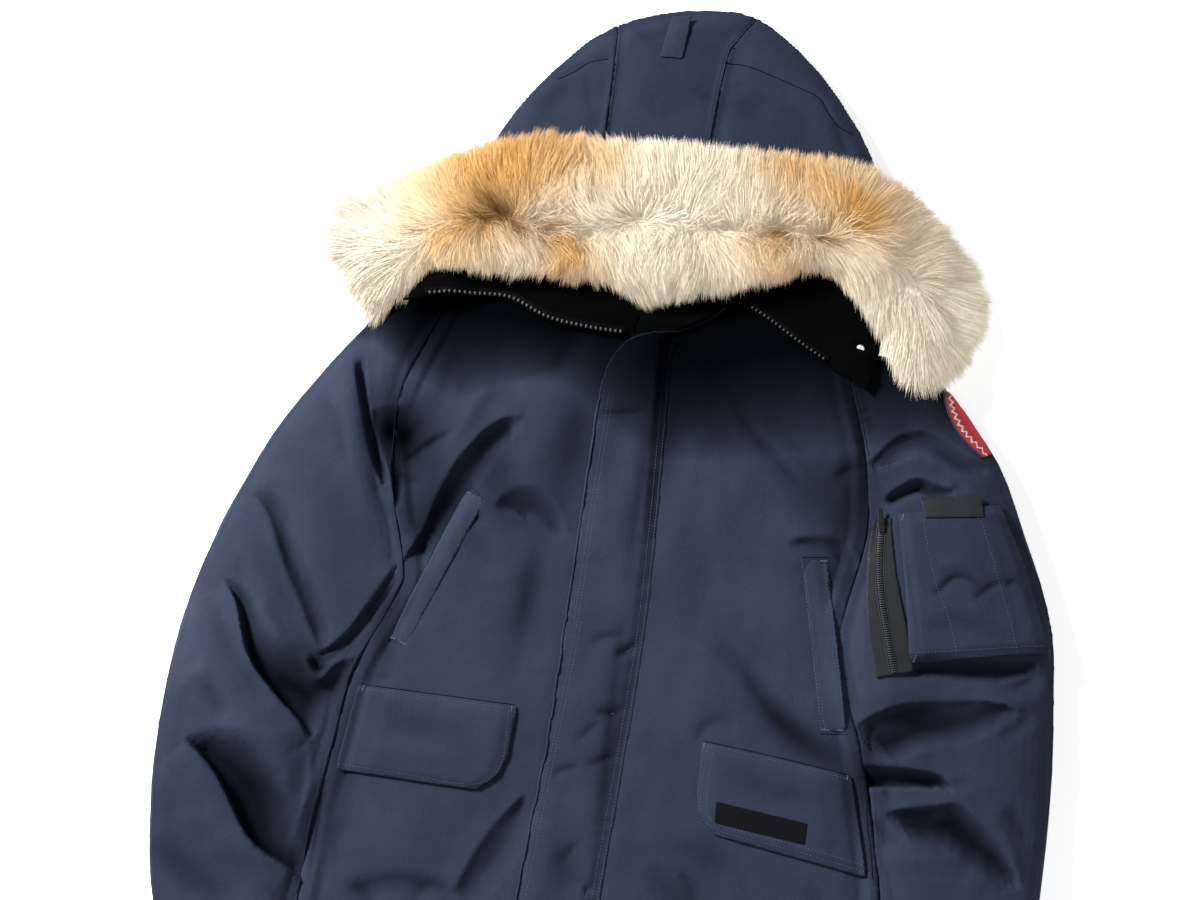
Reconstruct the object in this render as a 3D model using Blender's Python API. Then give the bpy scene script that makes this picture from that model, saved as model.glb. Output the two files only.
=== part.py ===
"""Navy down-filled bomber jacket with a fur-trimmed hood, laid flat with its front up.

Every cut-and-sewn piece is its own closed solid. The jacket is built in layers from the surface it lies on:
the lower layer (back, lower half of the sleeves and hood), a flat slit that is the empty inside, the upper
layer, and then the collar, storm flap, pockets and fur, each laid on what is below it. Lengths are in mm in
the tables and become metres when a mesh is made. +X is the wearer's left, +Y runs to the hood, +Z is up.
The origin is on the underside of the back, on the centre line at mid chest."""
import math

import bmesh
import bpy
import numpy as np
from mathutils import Matrix, Vector
from mathutils.bvhtree import BVHTree

for old in list(bpy.data.objects):
    bpy.data.objects.remove(old, do_unlink=True)

MM = 0.001
NECK_GAP = 1.6  # from the body up to the hood, under the collar
SEAM = 0.3  # between two pieces that meet at a seam
LAID = 0.45  # under a piece that lies on others
LOWER = 20.0  # down-filled lower layer
INSIDE = 1.0  # the flattened inside of a sleeve or of the hood
UPPER = LOWER + INSIDE
FRONT_LOFT = 24.0  # thickness of a front at its middle
SLEEVE_LOFT = 31.0
HOOD_LOFT = 17.0
FUR_REACH = 50.0  # how far the fur stands off what it lies on
COLLAR_THICK = 9.0
FLAP_THICK = 6.5
PLACKET_THICK = 6.0
UNDERCUT = 8.0  # how high a folded edge is above the surface it lies on

RAGLAN_ROWS, SIDE_ROWS, ARM_ROWS = 13, 17, 21
FRONT_COLS, SLEEVE_COLS = 9, 11

NECK = [(-222, 322), (-120, 345), (0, 358), (108, 362), (190, 345), (230, 322)]
HEM = [(-262, -430), (3, -434), (338, -430)]
CENTRE = [(4, 358), (8, 100), (8, -100), (3, -434)]
RAGLAN_R = [(-222, 322), (-242, 262), (-257, 216), (-261, 175), (-257, 125), (-244, 70), (-226, 20), (-219, -10)]
RAGLAN_L = [(230, 322), (240, 286), (256, 242), (268, 205), (276, 155), (278, 110), (270, 60), (262, 15), (262, -18)]
SIDE_R = [(-219, -10), (-229, -50), (-248, -106), (-255, -160), (-259, -213), (-264, -257), (-266, -322), (-262, -430)]
SIDE_L = [(262, -18), (272, -60), (290, -105), (302, -140), (311, -175), (321, -215), (331, -260), (337, -330), (338, -430)]

# name of the edge: points from the neck to the cuff
ARM_R_OUTER = [(-296, 320), (-307, 285), (-347, 222), (-398, 126), (-437, 4), (-451, -66), (-457, -150), (-453, -243),
               (-436, -348), (-410, -430), (-392, -512)]
ARM_R_INNER = [(-219, -10), (-231, -50), (-251, -104), (-258, -135), (-259, -165), (-262, -205), (-267, -257),
               (-269, -322), (-267, -430), (-272, -512)]
ARM_L_OUTER = [(316, 321), (341, 304), (386, 258), (422, 211), (454, 141), (476, 93), (495, 34), (502, -31), (508, -110),
               (509, -200), (504, -290), (486, -385), (452, -512)]
ARM_L_INNER = [(262, -18), (275, -60), (293, -105), (306, -138), (316, -172), (325, -215), (336, -260), (343, -330),
               (343, -430), (338, -512)]

# hood: outline pieces and the two seams between its three panels, from the neck up
HOOD_OUT_R = [(-222, 324.5), (-246, 372), (-247, 433), (-219, 487), (-198, 540), (-166, 596), (-118, 659)]
HOOD_TOP_R = [(-118, 659), (-102, 672), (-86, 683)]
HOOD_SEAM_R = [(-76, 0), (-79, 450), (-80, 542), (-83, 636), (-86, 683)]
HOOD_TOP_C = [(-86, 683), (-62, 697), (-4, 716), (55, 722), (75, 717)]
HOOD_SEAM_L = [(38, 0), (40, 450), (42, 560), (48, 656), (57, 680), (75, 717)]
HOOD_TOP_L = [(75, 717), (91, 711), (105, 703)]
HOOD_OUT_L = [(230, 324.5), (252, 372), (264, 425), (260, 485), (244, 539), (222, 580), (193, 620), (152, 665), (105, 703)]
HOOD_ROWS, HOOD_COLS = 12, 6

# fur: one row across the ruff at each station, from the wearer's right end to the left end
RUFF = [  # x_low, y_low, x_top, y_top
    (-304, 266, -384, 392), (-276, 302, -362, 434), (-250, 340, -307, 464), (-190, 344, -220, 506),
    (-102, 351, -131, 533), (-40, 350, -37, 537), (8, 336, 31, 544), (90, 362, 126, 547), (150, 390, 219, 547),
    (200, 403, 276, 531), (238, 372, 334, 489), (262, 330, 374, 440), (288, 289, 389, 394), (316, 268, 364, 322)]

COLLAR_R = {"low": [(-274, 296), (-249, 306), (-221, 312), (-161, 320), (-111, 302), (-63, 297), (-16, 298)],
            "high": [(-262, 388), (-200, 402), (-120, 405), (-14, 402)]}
COLLAR_L = {"low": [(-10, 299), (34, 311), (85, 344), (108, 354), (138, 338), (175, 316), (211, 298), (240, 272)],
            "high": [(-10, 402), (90, 412), (180, 425), (262, 392)]}

STORM = [  # y, x of the free edge, x of the sewn edge
    (294, -10, 35), (284, -19, 36), (229, -30, 40), (104, -30, 47), (-29, -29, 52), (-171, -35, 50), (-328, -42, 46),
    (-426, -40, 44)]

FLAP_R = {"start": [(-246, -131), (-73, -128)], "end": [(-254, -224), (-102, -223)],
          "left": [(-246, -131), (-254, -224)], "right": [(-73, -128), (-74, -196), (-102, -223)]}
FLAP_L = {"start": [(129, -135), (292, -147)], "end": [(155, -231), (320, -250)],
          "left": [(129, -135), (131, -206), (155, -231)], "right": [(292, -147), (320, -250)]}
WELT_R = {"start": [(-168, 98), (-144, 90)], "end": [(-224, -78), (-202, -83)]}
WELT_L = {"start": [(208, 77), (238, 82)], "end": [(254, -106), (281, -102)]}
HOOD_TAB = {"start": [(-31, 644), (-4, 646)], "end": [(-24, 692), (-1, 696)]}
LABEL = {"start": [(152, -196), (250, -204)], "end": [(153, -218), (250, -226)]}
SLEEVE_POCKET = {"start": [(306, 142), (418, 170)], "end": [(338, -20), (489, 16)],
                 "left": [(306, 142), (320, 80), (338, -20)], "right": [(418, 170), (455, 100), (489, 16)]}
PEN_STRIP = {"start": [(328, 164), (394, 176)], "end": [(335, 140), (399, 151)]}
POCKET_ZIP = {"start": [(283, 133), (298, 137)], "end": [(312, -38), (334, -30)],
              "left": [(283, 133), (285, 84), (292, 38), (312, -38)],
              "right": [(298, 137), (302, 84), (313, 36), (334, -30)]}
ARM_PATCH = {"left": [(341, 291), (348, 266), (364, 241), (391, 220)], "right": [(349, 293), (368, 273), (384, 254), (404, 228)]}
ZIP_R = [(-249, 309), (-221, 315), (-161, 323), (-111, 305.5), (-63, 300), (-20, 300.5)]
ZIP_L = [(112, 354.5), (138, 341), (175, 319), (208, 302)]
ZIP_WIDE, ZIP_THICK = 8.0, 2.2
SNAP_AT, SNAP_R, SNAP_TALL = (243, 322), 5.5, 3.0
SLIDER_AT, SLIDER_TURN = (290.5, 124), math.radians(-78)  # the slider at the top of the pocket's zip
TAB_LONG, TAB_WIDE, TAB_THICK = 17.0, 6.0, 1.4

# folds: piece, start, middle and end of the fold, its half width, and its height (a trough is negative)
FOLDS = [
    ("sleeve_right", (-306, 240), (-283, 150), (-258, 80), 15, -15),
    ("sleeve_right", (-318, 232), (-302, 160), (-262, 50), 15, 6),
    ("sleeve_right", (-348, 190), (-322, 150), (-304, 120), 10, -4),
    ("sleeve_right", (-402, 66), (-350, 20), (-312, -88), 14, -6),
    ("sleeve_right", (-430, 40), (-382, -28), (-330, -110), 22, 9),
    ("sleeve_right", (-428, -28), (-388, -90), (-330, -140), 20, -15),
    ("sleeve_right", (-340, -135), (-305, -140), (-282, -128), 15, -12),
    ("sleeve_right", (-440, -90), (-396, -140), (-318, -200), 18, 10),
    ("sleeve_right", (-432, -190), (-372, -232), (-305, -296), 22, -15),
    ("sleeve_right", (-444, -258), (-372, -300), (-290, -336), 18, 9),
    ("sleeve_right", (-292, -180), (-291, -250), (-296, -330), 8, -7),
    ("sleeve_right", (-400, -400), (-350, -420), (-300, -440), 16, -7),
    ("sleeve_left", (268, 208), (296, 226), (340, 222), 9, -7),
    ("sleeve_left", (284, 190), (312, 204), (352, 200), 10, 4),
    ("sleeve_left", (283, 150), (322, 172), (356, 160), 10, -9),
    ("sleeve_left", (345, -38), (405, -30), (480, -8), 13, -12),
    ("sleeve_left", (300, -50), (380, -66), (480, -60), 16, 6),
    ("sleeve_left", (288, -112), (350, -70), (440, -60), 14, -11),
    ("sleeve_left", (300, -124), (360, -104), (470, -110), 18, 7),
    ("sleeve_left", (304, -152), (340, -146), (392, -150), 12, -13),
    ("sleeve_left", (312, -172), (360, -164), (420, -150), 12, 6),
    ("sleeve_left", (326, -186), (380, -178), (466, -236), 14, -11),
    ("sleeve_left", (330, -230), (390, -226), (450, -270), 22, 8),
    ("sleeve_left", (350, -380), (400, -400), (450, -390), 18, -8),
    ("front_right", (-240, 180), (-190, 120), (-150, 88), 13, 4),
    ("front_right", (-118, 196), (-168, 120), (-216, 20), 13, -8),
    ("front_right", (-100, 160), (-140, 90), (-190, 10), 20, 4),
    ("front_right", (-138, 62), (-104, 80), (-64, 60), 10, -3),
    ("front_right", (-60, -210), (-76, -260), (-114, -320), 14, -5),
    ("front_right", (-240, -320), (-200, -350), (-130, -330), 12, -4),
    ("front_left", (80, 236), (118, 196), (176, 158), 12, -5),
    ("front_left", (150, 226), (190, 176), (238, 150), 12, -4),
    ("front_left", (112, -80), (168, -92), (252, -128), 13, -4),
    ("front_left", (100, 20), (120, -30), (130, -90), 18, 3),
    ("front_left", (90, -270), (150, -310), (230, -330), 16, -4),
]

COLOURS = {  # material: red, green, blue, roughness, metallic
    "navy_shell": (0.050, 0.066, 0.115, 0.72, 0.0), "black_fleece": (0.010, 0.011, 0.013, 0.95, 0.0),
    "fur": (0.66, 0.56, 0.43, 0.9, 0.0), "black_tape": (0.016, 0.017, 0.018, 0.75, 0.0),
    "zip_metal": (0.30, 0.30, 0.31, 0.3, 1.0), "snap_metal": (0.62, 0.63, 0.64, 0.22, 1.0),
    "woven_label": (0.012, 0.012, 0.014, 0.8, 0.0), "patch_weave": (0.42, 0.035, 0.035, 0.75, 0.0)}


def along(points, n, smooth=True, ease=0.0):
    """n + 1 points on a curve through the given ones; ease packs them towards both ends."""
    p = np.array(points, float)
    if smooth and len(p) > 2:
        q = np.vstack([2 * p[0] - p[1], p, 2 * p[-1] - p[-2]])
        fine = [0.5 * (2 * b + (c - a) * t + (2 * a - 5 * b + 4 * c - d) * t**2 + (3 * b - a - 3 * c + d) * t**3)
                for a, b, c, d in zip(q, q[1:], q[2:], q[3:]) for t in np.linspace(0, 1, 12, endpoint=False)]
        p = np.array(fine + [p[-1]])
    s = np.r_[0, np.cumsum(np.linalg.norm(np.diff(p, axis=0), axis=1))]
    t = np.linspace(0, 1, n + 1)
    t = (1 - ease) * t + ease * (1 - np.cos(math.pi * t)) / 2
    return np.column_stack([np.interp(t * s[-1], s, p[:, k]) for k in (0, 1)])


def moved(line, by):
    """The line moved sideways, to its left as it runs."""
    d = np.gradient(line, axis=0)
    d /= np.linalg.norm(d, axis=1)[:, None]
    return line + by * np.column_stack([-d[:, 1], d[:, 0]])


def share(line):
    s = np.r_[0, np.cumsum(np.linalg.norm(np.diff(line, axis=0), axis=1))]
    return s / s[-1]


def patch(start, end, left, right):
    """Plan grid [row][column] between four edges. Rows run from start to end, columns from left to right."""
    start, end, left, right = (np.array(e, float) for e in (start, end, left, right))
    start[0], start[-1], end[0], end[-1] = left[0], right[0], left[-1], right[-1]
    u = ((share(start) + share(end)) / 2)[None, :, None]
    v = ((share(left) + share(right)) / 2)[:, None, None]
    flat = (1 - v) * (1 - u) * left[0] + (1 - v) * u * right[0] + v * (1 - u) * left[-1] + v * u * right[-1]
    return (1 - v) * start[None] + v * end[None] + (1 - u) * left[:, None] + u * right[:, None] - flat


def quad(table, rows, cols, ease=0.6):
    """A patch from a table of edges; straight where an edge isn't given."""
    left = table.get("left") or [table["start"][0], table["end"][0]]
    right = table.get("right") or [table["start"][-1], table["end"][-1]]
    start = table.get("start") or [left[0], right[0]]
    end = table.get("end") or [left[-1], right[-1]]
    return patch(along(start, cols, False, ease), along(end, cols, False, ease),
                 along(left, rows, False, ease), along(right, rows, False, ease))


def swell(grid, left, right, start, end):
    """From 0 to 1 over the grid: each side is (height at the edge, width of the roll down to it)."""
    def run(a):
        return np.cumsum(np.r_[[np.zeros(a.shape[1])], np.linalg.norm(np.diff(a, axis=0), axis=2)], axis=0)

    rows, cols = run(grid), run(grid.transpose(1, 0, 2)).T
    far = {"start": rows, "end": rows[-1] - rows, "left": cols, "right": cols[:, -1:] - cols}
    h = np.ones(grid.shape[:2])
    for side, (edge, wide) in {"left": left, "right": right, "start": start, "end": end}.items():
        x = 1 - np.minimum(far[side] / wide, 1)
        h *= edge + (1 - edge) * np.sqrt(np.maximum(1 - x * x, 0))
    return h


def folded(name, grid):
    """Height added by the table of folds at each point of a piece."""
    add = np.zeros(grid.shape[:2])
    t = np.linspace(0, 1, 25)[:, None]
    for piece, a, b, c, half, high in FOLDS:
        if piece != name:
            continue
        a, b, c = (np.array(p, float) for p in (a, b, c))
        line = (1 - t) * (1 - 2 * t) * a + 4 * t * (1 - t) * b + t * (2 * t - 1) * c
        d = np.linalg.norm(grid[:, :, None, :] - line[None, None], axis=3)
        fade = np.sin(math.pi * (0.08 + 0.84 * t[:, 0])) ** 0.6
        add += high * (np.exp(-((d / half) ** 2)) * fade).max(axis=2)
    return add


TREES = {}


def height_at(x, y, on):
    """Height of the highest of the named pieces at a point of the plan, or 0."""
    at, down = Vector((x, y, 400.0)), Vector((0, 0, -1))
    hits = [TREES[name].ray_cast(at, down)[0] for name in on]
    return max([hit.z for hit in hits if hit is not None], default=0.0)


def resting(grid, gap, on, bridge=0, fine=8):
    """Underside of a piece laid on the named ones: gap above them at every point, not only at the grid's own."""
    h = np.array([[height_at(x, y, on) for x, y in row] for row in grid]) + gap
    for _ in range(bridge):
        e = np.pad(h, 1, mode="edge")
        h = np.maximum(h, (e[:-2, 1:-1] + e[2:, 1:-1] + e[1:-1, :-2] + e[1:-1, 2:]) / 4)
    c = [grid[:-1, :-1], grid[:-1, 1:], grid[1:, 1:], grid[1:, :-1]]
    spots = []
    for s in np.linspace(0, 1, fine + 1):
        for t in np.linspace(0, 1, fine + 1):
            w = ((1 - s) * (1 - t), s * (1 - t), s * t, (1 - s) * t)
            p = sum(a * k for a, k in zip(c, w))
            need = np.array([[height_at(x, y, on) for x, y in row] for row in p]) + gap
            spots.append((s, t, w, need))
    for turn in range(40):
        if turn in (8, 16, 24):  # even it out, then clear what lies below again
            e = np.pad(h, 1, mode="edge")
            h = 0.4 * h + 0.15 * (e[:-2, 1:-1] + e[2:, 1:-1] + e[1:-1, :-2] + e[1:-1, 2:])
        lift = np.zeros_like(h)
        for s, t, w, need in spots:
            z = [h[:-1, :-1], h[:-1, 1:], h[1:, 1:], h[1:, :-1]]
            one = z[0] * (1 - max(s, t)) + z[2] * min(s, t) + (z[1] * (s - t) if s > t else z[3] * (t - s))
            two = (z[0] * (1 - s - t) + z[1] * s + z[3] * t if s + t < 1
                   else z[2] * (s + t - 1) + z[1] * (1 - t) + z[3] * (1 - s))
            short = np.maximum(need - np.minimum(one, two), 0) / sum(k * k for k in w)
            for k, share_of in zip(w, (lift[:-1, :-1], lift[:-1, 1:], lift[1:, 1:], lift[1:, :-1])):
                np.maximum(share_of, short * k, out=share_of)
        h += lift
    return h


def colour(name):
    m = bpy.data.materials.get(name) or bpy.data.materials.new(name)
    m.use_nodes = True
    r, g, b, rough, metal = COLOURS[name]
    s = m.node_tree.nodes["Principled BSDF"].inputs
    s["Base Color"].default_value = (r, g, b, 1)
    s["Roughness"].default_value = rough
    s["Metallic"].default_value = metal
    return m


def finish(name, bm, material, at=(0, 0, 0)):
    """Close a piece: faces turned out, triangles, metres, one object with its origin at the given place."""
    bmesh.ops.recalc_face_normals(bm, faces=bm.faces)
    bmesh.ops.triangulate(bm, faces=bm.faces, quad_method="FIXED", ngon_method="EAR_CLIP")
    bm.normal_update()
    TREES[name] = BVHTree.FromBMesh(bm)
    bmesh.ops.scale(bm, vec=(MM, MM, MM), verts=bm.verts)
    mesh = bpy.data.meshes.new(name)
    bm.to_mesh(mesh)
    bm.free()
    mesh.materials.append(colour(material))
    o = bpy.data.objects.new(name, mesh)
    o.location = [v * MM for v in at]
    bpy.context.collection.objects.link(o)
    return o


def piece(name, material, grid, top, under=None, floor=0.0, undercut=None, slit=None):
    """A sewn piece over a plan grid. top is its upper surface. Its underside is the under heights, or flat at
    floor with the sides in undercut raised from the given row on. slit is (first row, last row, first column,
    last column) of the flat hollow inside, and the row from which the last column is left whole."""
    bm = bmesh.new()
    rows, cols = grid.shape[0] - 1, grid.shape[1] - 1
    put = lambda j, i, z: bm.verts.new((grid[j, i, 0], grid[j, i, 1], z))
    high = [[put(j, i, top[j, i]) for i in range(cols + 1)] for j in range(rows + 1)]
    rim = ([(0, i) for i in range(cols)] + [(j, cols) for j in range(rows)]
           + [(rows, i) for i in range(cols, 0, -1)] + [(j, 0) for j in range(rows, 0, -1)])
    on_rim = set(rim)
    low = {}
    for j, i in np.ndindex(rows + 1, cols + 1):
        inner = 1 <= j <= rows - 1 and 1 <= i <= cols - 1
        if under is not None:
            low[j, i] = put(j, i, under[j, i])
        elif (j, i) in on_rim:
            at = {"left": i == 0, "right": i == cols, "start": j == 0, "end": j == rows}
            lifted = any(at[side] and j >= first for side, first in (undercut or {}).items())
            low[j, i] = put(j, i, floor + (UNDERCUT if lifted else 0))
        elif inner and (j in (1, rows - 1) or i in (1, cols - 1)):
            low[j, i] = put(j, i, floor)
    for j in range(rows):
        for i in range(cols):
            ring = (high[j][i], high[j][i + 1], high[j + 1][i + 1], high[j + 1][i])
            bm.faces.new(ring)
            corners = [(j, i), (j, i + 1), (j + 1, i + 1), (j + 1, i)]
            if under is not None or j in (0, rows - 1) or i in (0, cols - 1):
                bm.faces.new([low[c] for c in reversed(corners)])
    if under is None:
        loop = ([(1, i) for i in range(1, cols - 1)] + [(j, cols - 1) for j in range(1, rows - 1)]
                + [(rows - 1, i) for i in range(cols - 1, 1, -1)] + [(j, 1) for j in range(rows - 1, 1, -1)])
        bm.faces.new([low[c] for c in reversed(loop)])
    cells, above, below = set(), {}, {}
    if slit:
        j0, j1, i0, i1, whole = slit
        cells = {(j, i) for j in range(j0, j1) for i in range(i0, i1 - (j >= whole))}
        turns = [(0, 0), (0, 1), (1, 1), (1, 0)]
        edges = {}
        for j, i in cells:
            c = [(j + a, i + b) for a, b in turns]
            for a, b in zip(c, c[1:] + c[:1]):
                edges[a, b] = True
        step = {a: b for a, b in edges if (b, a) not in edges}
        at = first = min(step)
        loop = []
        while True:
            loop.append(at)
            at = step[at]
            if at == first:
                break
        above = {c: put(*c, UPPER) for c in loop}
        below = {c: put(*c, LOWER) for c in loop}
        bm.faces.new([above[c] for c in loop])
        bm.faces.new([below[c] for c in loop])
        for a, b in zip(loop, loop[1:] + loop[:1]):
            outer = (a in on_rim and b in on_rim and (a[0] == b[0] in (0, rows) or a[1] == b[1] in (0, cols)))
            if not outer:
                bm.faces.new((above[a], above[b], below[b], below[a]))
    for a, b in zip(rim, rim[1:] + rim[:1]):
        ha, hb = high[a[0]][a[1]], high[b[0]][b[1]]
        cell = (min(a[0], b[0], rows - 1), min(a[1], b[1], cols - 1))
        if cell in cells:
            bm.faces.new((ha, hb, above[b], above[a]))
            bm.faces.new((below[a], below[b], low[b], low[a]))
        else:
            side = [ha, hb] + ([above[b], below[b]] if b in above else []) + [low[b], low[a]]
            side += [below[a], above[a]] if a in above else []
            bm.faces.new(side)
    return finish(name, bm, material)


def laid(name, material, grid, thick, on, edge=0.55, wide=10, gap=LAID, bridge=0):
    """A piece of even thickness laid on others, thinner at its edges."""
    under = resting(grid, gap, on, bridge)
    roll = (edge, wide)
    top = under + thick * swell(grid, roll, roll, roll, roll)
    return piece(name, material, grid, top, under)


def block(name, material, size, middle, origin, turn=0.0, bevel=0.6):
    """A small hard piece with rounded edges. Its middle is given from its origin."""
    bm = bmesh.new()
    bmesh.ops.create_cube(bm, size=1)
    bmesh.ops.scale(bm, vec=size, verts=bm.verts)
    bmesh.ops.bevel(bm, geom=bm.edges[:], offset=bevel, segments=1, affect="EDGES", profile=0.5)
    bmesh.ops.rotate(bm, cent=(0, 0, 0), matrix=Matrix.Rotation(turn, 3, "Z"), verts=bm.verts)
    bmesh.ops.translate(bm, vec=middle, verts=bm.verts)
    return finish(name, bm, material, origin)


# ---- body ----
raglan_r = along(RAGLAN_R, RAGLAN_ROWS)
raglan_l = along(RAGLAN_L, RAGLAN_ROWS)
side_r = np.vstack([raglan_r, along(SIDE_R, SIDE_ROWS)[1:]])
side_l = np.vstack([raglan_l, along(SIDE_L, SIDE_ROWS)[1:]])
body_rows = RAGLAN_ROWS + SIDE_ROWS
neck = along(NECK, 60)
middle = int(np.argmin(abs(neck[:, 0] - CENTRE[0][0])))
centre = along([tuple(neck[middle])] + CENTRE[1:], body_rows)
hem = along(HEM, 60)
fold = int(np.argmin(abs(hem[:, 0] - CENTRE[-1][0])))
centre[-1] = hem[fold]

grid = patch(along(neck, 14, False, 0.3), along(hem, 14, False, 0.3), side_r, side_l)
piece("back", "navy_shell", grid, np.full(grid.shape[:2], LOWER),
      undercut={"left": RAGLAN_ROWS + 1, "right": RAGLAN_ROWS + 1, "end": 0})

over = LOWER + SEAM
for name, left, right, ends in (
        ("front_right", side_r, moved(centre, -SEAM / 2), (0, middle, 0, fold)),
        ("front_left", moved(centre, SEAM / 2), side_l, (middle, 60, fold, 60))):
    a, b, c, d = ends
    grid = patch(along(neck[a:b + 1], FRONT_COLS, False, 0.75), along(hem[c:d + 1], FRONT_COLS, False, 0.75), left, right)
    side, mid = (0.32, 55), (0.8, 30)
    lift = swell(grid, *((side, mid) if name == "front_right" else (mid, side)), (0.7, 50), (0.45, 40))
    top = over + np.maximum(FRONT_LOFT * lift + folded(name, grid), 6.0)
    piece(name, "navy_shell", grid, top, floor=over)

# ---- sleeves: folded along the outside and below the armpit, open to the body above it ----
for name, outer, inner, seam, way in (
        ("sleeve_right", ARM_R_OUTER, ARM_R_INNER, raglan_r, -1), ("sleeve_left", ARM_L_OUTER, ARM_L_INNER, raglan_l, 1)):
    inner = np.vstack([moved(seam, way * SEAM * 1.2), along(inner, ARM_ROWS)[1:]])
    rows = len(inner) - 1
    # rows of the outer edge are spaced as the rows of the inner edge
    out = along(outer, 400)
    out = out[np.round(share(inner) * 400).astype(int)]
    cols = SLEEVE_COLS
    grid = patch(along([out[0], inner[0]], cols, False, 0.75), along([out[-1], inner[-1]], cols, False, 0.75), out, inner)
    # the inner side is a seam down to the armpit and a rounder fold below it
    inner_edge = np.clip(0.42 - 0.06 * (np.arange(rows + 1) - RAGLAN_ROWS), 0.16, 0.42)[:, None]
    lift = swell(grid, (0.06, 75), (inner_edge, 48), (0.75, 50), (0.5, 40))
    thick = np.maximum(SLEEVE_LOFT * lift + folded(name, grid), np.where(lift > 0.25, 6.0, 1.5))
    piece(name, "navy_shell", grid, UPPER + thick, undercut={"left": 0, "right": RAGLAN_ROWS + 1, "end": 0},
          slit=(0, rows, 1, cols, RAGLAN_ROWS))

# ---- hood: three panels, open at the neck, folded round its crown ----
rim_y = lambda x: float(np.interp(x, neck[:, 0], neck[:, 1])) + NECK_GAP
seam_r = along([(HOOD_SEAM_R[0][0], rim_y(HOOD_SEAM_R[0][0]))] + HOOD_SEAM_R[1:], HOOD_ROWS)
seam_l = along([(HOOD_SEAM_L[0][0], rim_y(HOOD_SEAM_L[0][0]))] + HOOD_SEAM_L[1:], HOOD_ROWS)
out_r, out_l = along(HOOD_OUT_R, HOOD_ROWS), along(HOOD_OUT_L, HOOD_ROWS)
half = SEAM / 2
panels = (
    ("hood_side_right", out_r, moved(seam_r, half), HOOD_TOP_R, (-222, -76)),
    ("hood_centre", moved(seam_r, -half), moved(seam_l, half), HOOD_TOP_C, (-76, 38)),
    ("hood_side_left", moved(seam_l, -half), out_l, HOOD_TOP_L, (38, 230)))
for name, left, right, crown, (x0, x1) in panels:
    low = np.array([(x, rim_y(x)) for x in np.linspace(x0, x1, 30)])
    cols = HOOD_COLS
    grid = patch(along(low, cols, False, 0.5), along(crown, cols, True, 0.5), left, right)
    seamed, fold_side = (0.62, 22), (0.12, 55)
    lift = swell(grid, fold_side if name.endswith("side_right") else seamed,
                 fold_side if name.endswith("side_left") else seamed, (0.8, 30), fold_side)
    top = UPPER + HOOD_LOFT * lift
    first, last = (1 if name.endswith("side_right") else 0), cols - (1 if name.endswith("side_left") else 0)
    turned = {"end": 0} | {s: 1 for s, k in (("left", "side_right"), ("right", "side_left")) if name.endswith(k)}
    piece(name, "navy_shell", grid, top, undercut=turned, slit=(0, HOOD_ROWS - 1, first, last, HOOD_ROWS))

BASE = ["back", "front_right", "front_left", "sleeve_right", "sleeve_left", "hood_side_right", "hood_centre", "hood_side_left"]

# ---- storm flap over the front zip ----
free = along([(x, y) for y, x, _ in STORM], 26)
sewn = along([(x, y) for y, _, x in STORM], 26)
grid = patch(along([free[0], sewn[0]], 4), along([free[-1], sewn[-1]], 4), free, sewn)
under = resting(grid, LAID, BASE)
top = under + PLACKET_THICK * swell(grid, (0.75, 8), (0.55, 8), (0.8, 10), (0.8, 10))
piece("storm_flap", "navy_shell", grid, top, under)

# ---- fleece-faced fronts of the collar, turned out, with the zip on their edge ----
for name, t in (("collar_right", COLLAR_R), ("collar_left", COLLAR_L)):
    low, high = along(t["low"], 14), along(t["high"], 14)
    grid = patch(low, high, along([low[0], high[0]], 4), along([low[-1], high[-1]], 4))
    laid(name, "black_fleece", grid, COLLAR_THICK, BASE, edge=0.6, wide=14)

# ---- fur ruff over the hood's rim, the collar and the shoulders ----
low = along([r[:2] for r in RUFF], 34)
high = along([r[2:] for r in RUFF], 34)
grid = patch(low, high, along([low[0], high[0]], 7, False, 0.5), along([low[-1], high[-1]], 7, False, 0.5))
under = resting(grid, 2 * LAID, BASE + ["collar_right", "collar_left", "storm_flap"], bridge=6)
top = under + FUR_REACH * swell(grid, (0.3, 60), (0.3, 60), (0.25, 70), (0.25, 70))
piece("fur_ruff", "fur", grid, top, under)

# ---- pockets ----
laid("flap_right", "navy_shell", quad(FLAP_R, 6, 7), FLAP_THICK, ["front_right"])
laid("flap_left", "navy_shell", quad(FLAP_L, 6, 7), FLAP_THICK, ["front_left"])
laid("welt_right", "navy_shell", quad(WELT_R, 8, 2, 0), 3.5, ["front_right"], edge=0.6, wide=6)
laid("welt_left", "navy_shell", quad(WELT_L, 8, 2, 0), 3.5, ["front_left"], edge=0.6, wide=6)
laid("sleeve_pocket", "navy_shell", quad(SLEEVE_POCKET, 9, 7, 0.5), 9.0, ["sleeve_left"], edge=0.5, wide=16, bridge=1)
laid("pen_strip", "black_tape", quad(PEN_STRIP, 2, 5, 0), 2.0, ["sleeve_left", "sleeve_pocket"], edge=0.8, wide=4)
laid("pocket_zip", "black_tape", quad(POCKET_ZIP, 8, 2, 0), 3.0, ["sleeve_left", "sleeve_pocket"], edge=0.8, wide=4)
laid("label", "woven_label", quad(LABEL, 1, 5, 0), 1.2, ["front_left", "flap_left"], edge=0.9, wide=2)
laid("hood_tab", "navy_shell", quad(HOOD_TAB, 3, 2, 0), 3.0, ["hood_centre"], edge=0.7, wide=4)
grid = patch(along([ARM_PATCH["left"][0], ARM_PATCH["right"][0]], 3), along([ARM_PATCH["left"][-1], ARM_PATCH["right"][-1]], 3),
             along(ARM_PATCH["left"], 6), along(ARM_PATCH["right"], 6))
laid("arm_patch", "patch_weave", grid, 2.0, ["sleeve_left"], edge=0.8, wide=4)

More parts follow.
